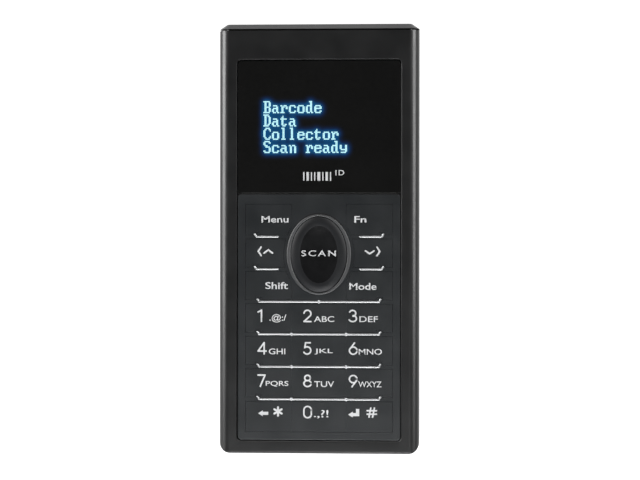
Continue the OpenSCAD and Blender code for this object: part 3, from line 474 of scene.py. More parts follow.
class Ink:
    """Thin printed shapes on a level surface, gathered into one piece."""

    def __init__(self, level: float, thickness: float = 0.012 * MM) -> None:
        """Start an empty print.

        Args:
            level: Height of the surface that it lies on.
            thickness: Thickness of the ink film.
        """
        self.low = level + 0.003 * MM
        self.high = self.low + thickness
        self.layer = thickness / 12
        self.points: list[np.ndarray] = []
        self.faces: list[list[int]] = []
        self.count = 0

    def _add(self, points: np.ndarray, faces: list) -> None:
        """Add points and the faces that number them from 0."""
        self.points.append(points)
        self.faces += [[i + self.count for i in face] for face in faces]
        self.count += len(points)

    def stroke(self, path: np.ndarray, width: float) -> None:
        """Add a stroke: a flat strip of some width along a path, with round ends.

        The path's two ends are carried on by half a width, where the strip narrows as
        the square root of one less the square of the share of that way. Each stroke
        lies a little higher than the last, so crossing strokes have no common face.

        Args:
            path: Points of the centre line, as (point, 2).
            width: Width of the strip.
        """
        share = np.array([0.35, 0.65, 0.88, 1.0])
        taper = np.sqrt(np.clip(1 - share**2, 0.002, 1)) * width / 2
        half = np.concatenate([taper[::-1], np.full(len(path), width / 2), taper])
        path = carried_on(np.asarray(path, float), share, width / 2)
        side = sideways(path) * half[:, None]
        left, right = path + side, path - side
        rows = np.stack(
            [self._lift(left, self.low), self._lift(left, self.high),
             self._lift(right, self.high), self._lift(right, self.low)], 1)
        self._add(*tube(rows))
        self.high += self.layer

    def shape(self, outline: np.ndarray) -> None:
        """Add a filled outline, given as (point, 2)."""
        outline = np.asarray(outline, float)
        levels = [self._lift(outline, self.low), self._lift(outline, self.high)]
        self._add(*tube(np.stack(levels)))

    @staticmethod
    def _lift(flat: np.ndarray, level: float) -> np.ndarray:
        """Return flat points at a height."""
        return np.column_stack([flat, np.full(len(flat), level)])

    def word(
        self,
        text: str,
        left: float,
        base: float,
        width: float,
        height: float,
        weight: float = 0.03,
        spacing: float = 1.0,
    ) -> None:
        """Add lettering stretched to a box.

        Args:
            text: The letters.
            left: The box's left side.
            base: The box's lower side.
            width: Width of the box.
            height: Height of the box.
            weight: How far the outlines swell, as a share of the letters' size.
            spacing: Space between the letters, where 1 is normal.
        """
        curve = bpy.data.curves.new("lettering", "FONT")
        curve.body, curve.offset, curve.extrude = text, weight, 0.1
        curve.space_character, curve.resolution_u = spacing, 5
        holder = bpy.data.objects.new("lettering", curve)
        bpy.context.scene.collection.objects.link(holder)
        ready = holder.evaluated_get(bpy.context.evaluated_depsgraph_get())
        mesh = bpy.data.meshes.new_from_object(ready)
        flat = np.empty(len(mesh.vertices) * 3)
        mesh.vertices.foreach_get("co", flat)
        flat = flat.reshape(-1, 3)
        faces = [list(p.vertices) for p in mesh.polygons]
        low, high = flat.min(0), flat.max(0)
        share = (flat[:, :2] - low[:2]) / (high[:2] - low[:2])
        placed = np.column_stack(
            [left + share[:, 0] * width, base + share[:, 1] * height,
             np.where(flat[:, 2] > 0, self.high, self.low)])
        bpy.data.objects.remove(holder)
        bpy.data.curves.remove(curve)
        bpy.data.meshes.remove(mesh)
        self._add(placed, faces)

    def drape(self, height: Callable[[np.ndarray], np.ndarray]) -> None:
        """Raise every point by the height of a surface at that point."""
        for points in self.points:
            points[:, 2] += height(points[:, :2])

    def piece(self, name: str, finish: Finish, body: str, slot: str) -> bpy.types.Object:
        """Return the print as one piece that rides on a body."""
        return make_piece(
            name, np.concatenate(self.points), self.faces, finish, body, slot, smooth=False
        )


def arc(
    cx: float, cy: float, rx: float, ry: float, start: float, stop: float, steps: int = 24
) -> np.ndarray:
    """Return points on an ellipse's arc, at equal steps of its angle in degrees."""
    angle = np.radians(np.linspace(start, stop, steps))
    return np.column_stack([cx + rx * np.cos(angle), cy + ry * np.sin(angle)])


def block_outline(
    left: float, base: float, right: float, top: float
) -> list[tuple[float, float]]:
    """Return the four corners of an upright block."""
    return [(left, base), (right, base), (right, top), (left, top)]


def line(*corners: tuple[float, float]) -> np.ndarray:
    """Return a straight or bent line through its corners."""
    return np.array(corners, float)


DIGITS: dict[str, list[np.ndarray]] = {
    "0": [np.concatenate([
        arc(0.33, 0.67, 0.33, 0.33, 0, 180), arc(0.33, 0.33, 0.33, 0.33, 180, 360),
        line((0.66, 0.67))])],
    "1": [line((0.3, 0), (0.3, 0.5), (0.3, 1)), line((0.3, 0.98), (0.0, 0.84))],
    "2": [np.concatenate([arc(0.31, 0.69, 0.31, 0.31, 170, -35), line((0.0, 0.0))]),
          line((0.0, 0.0), (0.62, 0.0))],
    "3": [arc(0.27, 0.74, 0.28, 0.26, 155, -82), arc(0.28, 0.27, 0.33, 0.27, 84, -158)],
    "4": [line((0.54, 0), (0.54, 1)), line((0.54, 1), (0.0, 0.25)),
          line((0.0, 0.25), (0.72, 0.25))],
    "5": [line((0.56, 1), (0.14, 1)), line((0.14, 1), (0.08, 0.56)),
          arc(0.28, 0.32, 0.33, 0.32, 128, -150)],
    "6": [arc(0.33, 0.32, 0.33, 0.32, 0, 360, 32), line((0.07, 0.5), (0.44, 1.0))],
    "7": [line((0.0, 1.0), (0.62, 1.0)), line((0.62, 1.0), (0.2, 0.0))],
    "8": [arc(0.32, 0.76, 0.25, 0.24, 0, 360, 30), arc(0.32, 0.27, 0.32, 0.27, 0, 360, 32)],
    "9": [arc(0.33, 0.68, 0.33, 0.32, 0, 360, 32), line((0.59, 0.5), (0.22, 0.0))],
}


# ------------------------------------------------------------------------ the housing


@dataclass
class Case:
    """The two case halves, the nose cap and the scan window."""

    rim_round: float = 0.34 * MM
    rim_margin: float = 1.2 * MM
    seam_round: float = 0.14 * MM
    hole_round: float = 0.1 * MM
    hole_edge: float = 1.5 * MM
    cap_round: float = 0.18 * MM
    pane_round: float = 0.12 * MM
    wall: float = 0.9 * MM
    skin: float = 0.3 * MM
    low: Vector = field(default_factory=lambda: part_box("front_housing")[0])
    high: Vector = field(default_factory=lambda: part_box("front_housing")[1])

    def build(self) -> None:
        """Make every outer piece of the case."""
        self._front()
        self._rear()
        self._nose()

    def _front(self) -> None:
        """Make the front half, with a soft rim round the panel opening."""
        pane_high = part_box("display_window")[1]
        pad_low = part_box("keypad_plate")[0]
        margin = self.rim_margin

        def on_rim(a: Vector, b: Vector) -> bool:
            """Say whether an edge runs round the panel opening, on the front face."""
            return all(
                near(p.z, self.high.z)
                and abs(p.x) < pane_high.x + margin
                and pad_low.y - margin < p.y < pane_high.y + margin
                for p in (a, b)
            )

        merged_copy("front_housing", CASE, (
            Softening(self.rim_round, on_rim),
            Softening(self.seam_round, self._on_seam(self.low.z, self.high.y), 2)))

    def _on_seam(self, parting: float, nose: float) -> EdgeTest:
        """Return a test for a half's outer edges at its parting line and its nose end.

        Args:
            parting: Height of the parting line.
            nose: Place of the nose end along the body.
        """
        ends = (in_plane(2, parting), in_plane(1, nose))
        return lambda a, b: (
            any(end(a, b) for end in ends) and self._outside(a) and self._outside(b))

    def _outside(self, point: Vector) -> bool:
        """Say whether a point lies on the outer skin and not on an inner wall."""
        return (
            abs(point.x) > self.high.x - self.wall
            or point.z > self.high.z - self.skin
            or point.z < self.skin
            or point.y < self.low.y + self.wall
        )

    def _rear(self) -> None:
        """Make the back half, with soft edges at its seams and holes."""
        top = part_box("rear_housing")[1]

        def on_back(a: Vector, b: Vector) -> bool:
            """Say whether an edge bounds a hole or recess in the back face."""
            return in_plane(2, 0)(a, b) and (a - b).length < self.hole_edge

        merged_copy("rear_housing", CASE, (
            Softening(self.seam_round, self._on_seam(top.z, top.y), 2),
            Softening(self.hole_round, on_back, 2)))

    def _nose(self) -> None:
        """Make the nose cap and the red window in it."""
        for node, finish, width in (
                ("nose_cap", CAP, self.cap_round), ("scan_window", RED_PANE, self.pane_round)):
            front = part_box(node)[1].y
            merged_copy(node, finish, (Softening(width, in_plane(1, front)),))


# -------------------------------------------------------------------- the front panel


@dataclass
class Keypad:
    """The plate, its keys, the bars between the rows and the legends."""

    key_grow: float = 0.055 * MM
    key_round: float = 0.008 * MM
    rows: tuple[tuple[str, ...], ...] = (
        ("key_star", "key_0", "key_hash"), ("key_7", "key_8", "key_9"),
        ("key_4", "key_5", "key_6"), ("key_1", "key_2", "key_3"),
        ("key_shift", "key_mode"), ("key_back", "key_forward"), ("key_menu", "key_fn"))
    lip: float = 0.3 * MM
    border: float = 1.3 * MM
    border_round: float = 0.22 * MM
    level: float = field(default_factory=lambda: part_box("key_5")[1].z)

    def divide(self, row: int) -> float:
        """Return the line between a row and the row under it."""
        below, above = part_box(self.rows[row - 1][0])[1].y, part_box(self.rows[row][0])[0].y
        return (below + above) / 2

    def build(self) -> None:
        """Make the plate, the keys and the bars."""
        plate_low, plate_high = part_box("keypad_plate")

        def on_border(a: Vector, b: Vector) -> bool:
            """Say whether an edge runs round the plate's outer border, on top."""
            return all(
                near(p.z, plate_high.z)
                and (abs(p.x) > plate_high.x - self.border
                     or p.y < plate_low.y + self.border
                     or p.y > plate_high.y - self.border)
                for p in (a, b)
            )

        merged_copy("keypad_plate", PAD, (Softening(self.border_round, on_border),))
        rounding = Softening(self.key_round, in_plane(2, self.level), 2)
        for row in self.rows:
            for key in row:
                merged_copy(key, PAD, (rounding,), self.key_grow, key + "_cap")
        Bars(self).build()


@dataclass
class KeyMat:
    """The silicone mat: a sheet with plungers, and a soft pad under every key."""

    edge: float = 0.12 * MM
    slot: str = "silicone_grey"

    def build(self) -> None:
        """Make the sheet, and one pad for each key."""
        self.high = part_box("key_mat")[1].z
        shell = welded("key_mat")
        shell.normal_update()
        outlines = [
            np.array([v.co[:2] for v in face.verts])
            for face in shell.faces
            if face.normal.z > 0.9 and near(face.calc_center_median().z, self.high)
        ]
        self.low = sorted({round(v.co.z, 7) for v in shell.verts})[-2]
        self._sheet(shell)
        for key in [key for row in Keypad.rows for key in row] + ["scan_key"]:
            low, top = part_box(key)
            middle = np.array([(low.x + top.x) / 2, (low.y + top.y) / 2])
            self._pad(key, min(
                outlines, key=lambda o: np.linalg.norm((o.min(0) + o.max(0)) / 2 - middle)))

    def _sheet(self, shell: bmesh.types.BMesh) -> None:
        """Make the sheet: the mat with its pads pressed down to the sheet's top.

        Args:
            shell: The welded mat, which is used up.
        """
        for vert in shell.verts:
            vert.co.z = min(vert.co.z, self.low)
        bmesh.ops.remove_doubles(shell, verts=shell.verts, dist=WELD)
        mesh = bpy.data.meshes.new("key_mat_sheet")
        shell.to_mesh(mesh)
        shell.free()
        points = np.array([v.co[:] for v in mesh.vertices])
        faces = [list(p.vertices) for p in mesh.polygons]
        bpy.data.meshes.remove(mesh)
        sheet = make_piece("key_mat_look", points, faces, SLOT_FINISHES[self.slot], BODY,
                           self.slot, False)
        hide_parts("key_mat")

    def _pad(self, key: str, outline: np.ndarray) -> None:
        """Make one pad: its outline carried up, then drawn in to a rounded top.

        The draw-in grows as one less the cosine of an angle, and the height below the
        top as one less its sine.

        Args:
            key: The key over the pad.
            outline: The pad's outline, as (point, 2).
        """
        along = np.roll(outline, -1, 0) - np.roll(outline, 1, 0)
        along /= np.maximum(np.linalg.norm(along, axis=1, keepdims=True), 1e-12)
        inward = np.stack([-along[:, 1], along[:, 0]], -1)
        steps = [(0.0, self.low)] + [
            (self.edge * (1 - math.cos(a)), self.high - self.edge * (1 - math.sin(a)))
            for a in np.radians(np.linspace(0, 90, 5))]
        rings = np.stack([
            np.column_stack([outline + inward * shift, np.full(len(outline), level)])
            for shift, level in steps])
        pad = make_piece(key + "_pad", *tube(rings), SLOT_FINISHES[self.slot], BODY,
                         self.slot, False)
        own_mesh(pad)


@dataclass
class Bars:
    """The plated bars between the key rows, with turned-up ends and small diamonds."""

    pad: Keypad
    width: float = 0.5 * MM
    hook_out: float = 0.5 * MM
    hook_up: float = 0.6 * MM
    bend: float = 0.3 * MM
    ball: float = 1.12
    diamond: float = 0.52 * MM
    long_gap: float = 2.8 * MM
    short_gap: float = 2.1 * MM
    short_ring_gap: float = 2.3 * MM
    middle_half: float = 6.95 * MM

    def build(self) -> None:
        """Make all eight bars as one piece."""
        low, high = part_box("row_bars")
        self.base, self.top = low.z, high.z
        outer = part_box("key_9")[1].x - self.pad.lip
        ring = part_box("scan_key_ring")[1].x
        points: list[np.ndarray] = []
        faces: list[list[int]] = []

        def add(part: tuple[np.ndarray, list]) -> None:
            """Add one closed part."""
            start = sum(len(p) for p in points)
            points.append(part[0])
            faces.extend([i + start for i in face] for face in part[1])

        for row in range(1, 5):
            y, end = self.pad.divide(row), outer - self.long_gap
            right = self._hooked_half(0, end, y)
            add(self._rod(np.concatenate([right[::-1] * (-1, 1), right[1:]])))
            for x in (0.0,) if row == 4 else (-self.middle_half, self.middle_half):
                add(self._diamond(x, y))
        for row in (5, 6):
            y = self.pad.divide(row)
            half = self._hooked_half(ring + self.short_ring_gap, outer - self.short_gap, y)
            add(self._rod(half))
            add(self._rod(half * (-1, 1)))
        piece = make_piece("row_bars_look", np.concatenate(points), faces, BAR, BODY, "bar_metal")
        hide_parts("row_bars")

    def _hooked_half(self, start: float, end: float, y: float) -> np.ndarray:
        """Return the centre line of a bar from its inner end to the tip of its hook.

        The line runs straight, turns up through a small arc and ends with a straight
        rise, so its slope grows evenly from level to the hook's slope.
        """
        half, bend = self.width / 2, self.bend
        slope = math.degrees(math.atan2(self.hook_up, self.hook_out))
        turn_x = end - half - self.hook_out
        curve = arc(turn_x, y + bend, bend, bend, -90, -90 + slope, 6)
        tip = (end - half, y + self.hook_up)
        inner = line((start, y), ((start + turn_x) / 2, y))
        return np.concatenate([inner, curve, line(tip)])

    def _rod(self, path: np.ndarray) -> tuple[np.ndarray, list]:
        """Return a rod along a path.

        A half ellipse of the bar's width and height is carried along the path and
        narrowed to a round tip over the last half width.
        """
        share = np.array([0.4, 0.75, 0.97])
        half = self.width / 2
        taper = np.sqrt(1 - share**2)
        centres = carried_on(path, share, half)
        swell = np.ones(len(path))
        swell[-1] = self.ball
        size = np.concatenate([taper[::-1], swell, taper * self.ball])
        angle = np.radians(np.linspace(0, 180, 9))
        across = np.cos(angle)[None, :] * half * size[:, None]
        flat = centres[:, None, :] + sideways(centres)[:, None, :] * across[..., None]
        height = np.minimum(size, 1)[:, None]
        rise = self.base + (self.top - self.base) * np.sin(angle)[None, :] * height
        return tube(np.concatenate([flat, rise[..., None]], -1))

    def _diamond(self, x: float, y: float) -> tuple[np.ndarray, list]:
        """Return a low domed stud with its four corners along the axes.

        Every level is a square with slightly bowed sides, and its size falls as the
        cosine of an angle whose sine gives the level's share of the height.
        """
        around = np.radians(np.arange(0, 360, 15))
        power = 1.2
        reach = np.abs(np.cos(around)) ** power + np.abs(np.sin(around)) ** power
        reach = reach ** (-1 / power)
        ring = np.stack([np.cos(around), np.sin(around)], -1) * reach[:, None]
        rise = np.radians([0, 18, 36, 54, 70, 82])
        size = (np.cos(rise) * self.diamond)[:, None, None]
        flat = (x, y) + ring[None] * size
        level = self.base + (self.top - self.base) * np.sin(rise)
        rings = np.concatenate(
            [flat, np.broadcast_to(level[:, None, None], (*flat.shape[:2], 1))], -1)
        return tube(rings)


@dataclass
class ScanKey:
    """The oval key with its thumb dish, and the ring round it."""

    lip: float = 0.42 * MM
    border: float = 2.3 * MM
    dish_depth: float = 0.45 * MM
    roll: float = 0.05 * MM
    crest: float = 1.3
    drop: float = 0.4 * MM
    foot: float = 0.5 * MM
    around: int = 120
    dish_rings: int = 22
    word_size: tuple[float, float] = (8.8 * MM, 1.5 * MM)
    word_corner: tuple[float, float] = (-4.45 * MM, -0.45 * MM)

    def build(self) -> None:
        """Make the key in two finishes, the ring and the legend."""
        low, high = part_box("scan_key")
        self.centre = (low + high) / 2
        self.axes = np.array([(high.x - low.x) / 2 - self.lip, (high.y - low.y) / 2 - self.lip])
        self.top, self.bottom = high.z, low.z
        key = self._key()
        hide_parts("scan_key")
        self._ring()
        ink = Ink(0.015 * MM)
        x, y = self.centre.x, self.centre.y
        left, base = x + self.word_corner[0], y + self.word_corner[1]
        ink.word("SCAN", left, base, *self.word_size, 0.012, 1.3)
        inner = self.axes - self.border
        ink.drape(lambda flat: self.height(np.linalg.norm((flat - (x, y)) / inner, axis=1)))
        ink.piece("scan_legend", INK, "scan_key_cap", "label_film")

    def height(self, t: float | np.ndarray) -> np.ndarray:
        """Return the height of the key's top.

        In the dish, t runs from 0 at the centre to 1 at its edge, and the height grows
        as the square of t. On the border it runs on to 2: up to the crest and down again
        along two parabolas.
        """
        t = np.asarray(t, float)
        dish = self.dish_depth - (self.dish_depth - self.roll) * t**2
        rise = self.roll * ((self.crest - t) / (self.crest - 1)) ** 2
        fall = self.drop * ((t - self.crest) / (2 - self.crest)) ** 2
        return self.top - np.where(t < 1, dish, np.where(t < self.crest, rise, fall))

    def _ellipse(self, t: np.ndarray) -> np.ndarray:
        """Return rings of the key's top: one ellipse for each value of t."""
        angle = np.linspace(0, 2 * np.pi, self.around, endpoint=False)
        inner = (self.axes - self.border) * np.minimum(t, 1)[:, None]
        axes = inner + self.border * np.maximum(t - 1, 0)[:, None]
        x = self.centre.x + axes[:, :1] * np.cos(angle)[None, :]
        y = self.centre.y + axes[:, 1:] * np.sin(angle)[None, :]
        z = np.broadcast_to(self.height(t)[:, None], x.shape)
        return np.stack([x, y, z], -1)

    def _key(self) -> bpy.types.Object:
        """Make the key: the top's rings, then the side wall, the lip and the underside."""
        dish = np.linspace(0.04, 0.97, self.dish_rings)
        t = np.concatenate([dish, [1.0], np.linspace(1.03, 2, 26)])
        rings = self._ellipse(t)
        edge = rings[-1]
        wall = edge.copy()
        wall[:, 2] = self.bottom + self.foot
        out = self._grown(wall, self.lip)
        under = out.copy()
        under[:, 2] = self.bottom
        points, faces = tube(np.concatenate([rings, wall[None], out[None], under[None]]))
        key = make_piece("scan_key_look", points, faces, SCAN_BORDER, "scan_key_cap",
                         "scan_key_plastic")
        key.data.materials.append(SCAN_DISH.material())
        chosen = np.zeros(len(key.data.polygons), np.int32)
        chosen[:self.dish_rings * self.around] = 1
        chosen[-2] = 1
        key.data.polygons.foreach_set("material_index", chosen)
        return key

    def _grown(self, ring: np.ndarray, by: float) -> np.ndarray:
        """Return a ring round the key's centre with both half axes grown."""
        angle = np.linspace(0, 2 * np.pi, self.around, endpoint=False)
        grown = ring.copy()
        grown[:, 0] += by * np.cos(angle)
        grown[:, 1] += by * np.sin(angle)
        return grown

    def _ring(self) -> None:
        """Make the ring: a round-topped profile carried round an ellipse.

        The inner and outer half axes differ by the ring's width at its sides and ends.
        """
        low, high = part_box("scan_key_ring")
        outer = np.array([(high.x - low.x) / 2, (high.y - low.y) / 2])
        width = np.array([1.0, 0.55]) * MM
        share = np.array([0, 0, 0.0, 0.06, 0.2, 0.4, 0.6, 0.8, 0.94, 1.0, 1.0])
        span = high.z - low.z
        level = low.z + span * np.array([0, 0.5, 0.86, 0.93, 0.98, 1.0, 1.0, 0.98, 0.93, 0.86, 0])
        angle = np.linspace(0, 2 * np.pi, self.around, endpoint=False)
        axes = outer[None, :] - share[:, None] * width[None, :]
        x = self.centre.x + axes[:, :1] * np.cos(angle)
        y = (low.y + high.y) / 2 + axes[:, 1:] * np.sin(angle)
        z = np.broadcast_to(level[:, None], x.shape)
        rings = np.stack([x, y, z], -1)
        faces = grid_quads(len(rings) + 1, self.around) % (len(rings) * self.around)
        ring = make_piece("scan_ring_look", rings, faces.tolist(), RING, BODY, "ring_plastic")
        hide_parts("scan_key_ring")


@dataclass
class Legends:
    """The white print on the keys: digits, letter groups, words and signs."""

    pad: Keypad
    digit_height: float = 3.27 * MM
    digit_weight: float = 0.4 * MM
    small_height: float = 1.48 * MM
    pen: float = 0.42 * MM
    hash_pen: float = 0.4 * MM
    star_pen: float = 0.52 * MM
    drop: float = 5.2 * MM
    columns: tuple[float, float, float] = (-15.7 * MM, -4.0 * MM, 7.6 * MM)

    def build(self) -> None:
        """Print every key."""
        letters = {
            "key_1": (".@:/", 0, -12.6, 4.3), "key_2": ("ABC", 1, -1.25, 5.15),
            "key_3": ("DEF", 2, 10.3, 4.75), "key_4": ("GHI", 0, -12.75, 4.2),
            "key_5": ("JKL", 1, -1.1, 4.7), "key_6": ("MNO", 2, 10.15, 5.9),
            "key_7": ("PQRS", 0, -13.55, 5.8), "key_8": ("TUV", 1, -1.2, 5.1),
            "key_9": ("WXYZ", 2, 10.05, 5.9)}
        for row, keys in enumerate(self.pad.rows[1:4], start=1):
            base = self.pad.divide(row + 1) - self.drop
            for key in keys:
                text, column, left, width = letters[key]
                ink = Ink(self.pad.level)
                self._digit(ink, key[-1], self.columns[column], base)
                rise, height = (-0.05, 2.1 * MM) if key == "key_1" else (0.1, self.small_height)
                ink.word(text, left * MM, base + rise * MM, width * MM, height, 0.008)
                self._finish(ink, key)
        self._last_row()
        self._words()

    def _finish(self, ink: Ink, key: str) -> None:
        """Lay the print on its key."""
        ink.piece(key + "_legend", INK, key + "_cap", "label_film")

    def _digit(self, ink: Ink, digit: str, left: float, base: float) -> None:
        """Add a digit drawn with strokes, its lower left corner at (left, base)."""
        half = self.digit_weight / 2
        size = self.digit_height - self.digit_weight
        for path in DIGITS[digit]:
            ink.stroke(path * size + (left + half, base + half), self.digit_weight)

    def _last_row(self) -> None:
        """Print the star, zero and hash keys, with their two arrows."""
        base = self.pad.divide(1) - 4.85 * MM
        ink = Ink(self.pad.level)
        middle = base + 1.25 * MM
        head, shaft, stub = 0.75 * MM, 0.4 * MM, 1.2 * MM
        x0, x1 = -15.5 * MM, -12.9 * MM
        ink.shape([(x0, middle), (x0 + stub, middle - head), (x0 + stub, middle - shaft),
                   (x1, middle - shaft), (x1, middle + shaft), (x0 + stub, middle + shaft),
                   (x0 + stub, middle + head)])
        centre, reach = np.array([-10.4 * MM, base + 1.75 * MM]), 1.08 * MM
        for turn in (30, 90, 150):
            step = reach * np.array([math.cos(math.radians(turn)), math.sin(math.radians(turn))])
            ink.stroke(np.stack([centre - step, centre + step]), self.star_pen)
        self._finish(ink, "key_star")
        ink = Ink(self.pad.level)
        self._digit(ink, "0", self.columns[1], base)
        ink.word(".,?!", -1.25 * MM, base, 3.7 * MM, 2.2 * MM, 0.01)
        self._finish(ink, "key_0")
        ink = Ink(self.pad.level)
        middle = base + 1.05 * MM
        x0, x1, rise, riser = 7.45 * MM, 10.3 * MM, 1.45 * MM, 0.85 * MM
        ink.shape([(x0, middle), (x0 + stub, middle - head), (x0 + stub, middle - shaft),
                   (x1, middle - shaft), (x1, middle + rise), (x1 - riser, middle + rise),
                   (x1 - riser, middle + shaft), (x0 + stub, middle + shaft),
                   (x0 + stub, middle + head)])
        left, size, lean, foot_y = 12.2 * MM, 2.45 * MM, 0.45 * MM, base + 0.45 * MM
        tall = 2.3 * MM
        for share in (0.32, 0.7):
            foot = left + share * size
            ink.stroke(line((foot - lean / 2, foot_y), (foot + lean / 2, foot_y + tall)),
                       self.hash_pen)
            level = foot_y + share * tall
            ink.stroke(line((left + 0.1 * MM, level), (left + size, level)), self.hash_pen)
        self._finish(ink, "key_hash")

    def _words(self) -> None:
        """Print the six function keys."""
        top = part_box("key_menu")[1].y - self.pad.lip
        words = {
            "key_menu": ("Menu", -14.65, 6.9, top - 4.65 * MM, 1.66),
            "key_fn": ("Fn", 9.0, 3.05, top - 4.65 * MM, 1.66),
            "key_shift": ("Shift", -13.65, 5.8, self.pad.divide(5) - 5.05 * MM, 1.8),
            "key_mode": ("Mode", 7.75, 6.9, self.pad.divide(5) - 5.2 * MM, 1.75)}
        for key, (text, left, width, base, height) in words.items():
            ink = Ink(self.pad.level)
            ink.word(text, left * MM, base, width * MM, height * MM, 0.015)
            self._finish(ink, key)
        middle = self.pad.divide(6) - 3.7 * MM
        half = 1.1 * MM
        for key, turn, up, down in (("key_back", 1, 0.4, -0.45), ("key_forward", -1, -0.6, 0.15)):
            ink = Ink(self.pad.level)
            tip, mouth = -15.45 * MM * turn, -14.75 * MM * turn
            peak, foot = middle + up * MM, middle + down * MM
            left, right = -14.0 * MM * turn, -11.85 * MM * turn
            apex = ((left + right) / 2, peak)
            for path in (
                    line((mouth, middle + half), (tip, middle)),
                    line((tip, middle), (mouth, middle - half)),
                    line((left, foot), apex), line(apex, (right, foot))):
                ink.stroke(path, self.pen)
            self._finish(ink, key)


# ------------------------------------------------------------------------ the display

LETTERS: dict[str, str] = {
    "B": "######. .##..## .##..## .##..## .#####. .##..## .##..## .##..## ######.",
    "C": "..####. .##..## ##....# ##..... ##..... ##..... ##....# .##..## ..####.",
    "D": "#####.. .##.##. .##..## .##..## .##..## .##..## .##..## .##.##. #####..",
    "S": ".#####. ##...## ##..... .###... ..####. .....## .....## ##...## .#####.",
    "a": "....... ....... ....... .####.. ....##. .#####. ##..##. ##..##. .###.##",
    "c": "....... ....... ....... .#####. ##...## ##..... ##..... ##...## .#####.",
    "d": "...###. ....##. ....##. .#####. ##..##. ##..##. ##..##. ##..##. .###.##",
    "e": "....... ....... ....... .#####. ##...## ####### ##..... ##...## .#####.",
    "l": ".###... ..##... ..##... ..##... ..##... ..##... ..##... ..##... .####..",
    "n": "....... ....... ....... ##.###. .##..## .##..## .##..## .##..## .##..##",
    "o": "....... ....... ....... .#####. ##...## ##...## ##...## ##...## .#####.",
    "r": "....... ....... ....... ##.###. .###.## .##..## .##.... .##.... ####...",
    "t": "....... ..#.... .##.... ######. .##.... .##.... .##.... .##.##. ..###..",
    "y": "....... ....... ....... ##...## ##...## ##...## .###### .....## .#####.",
}


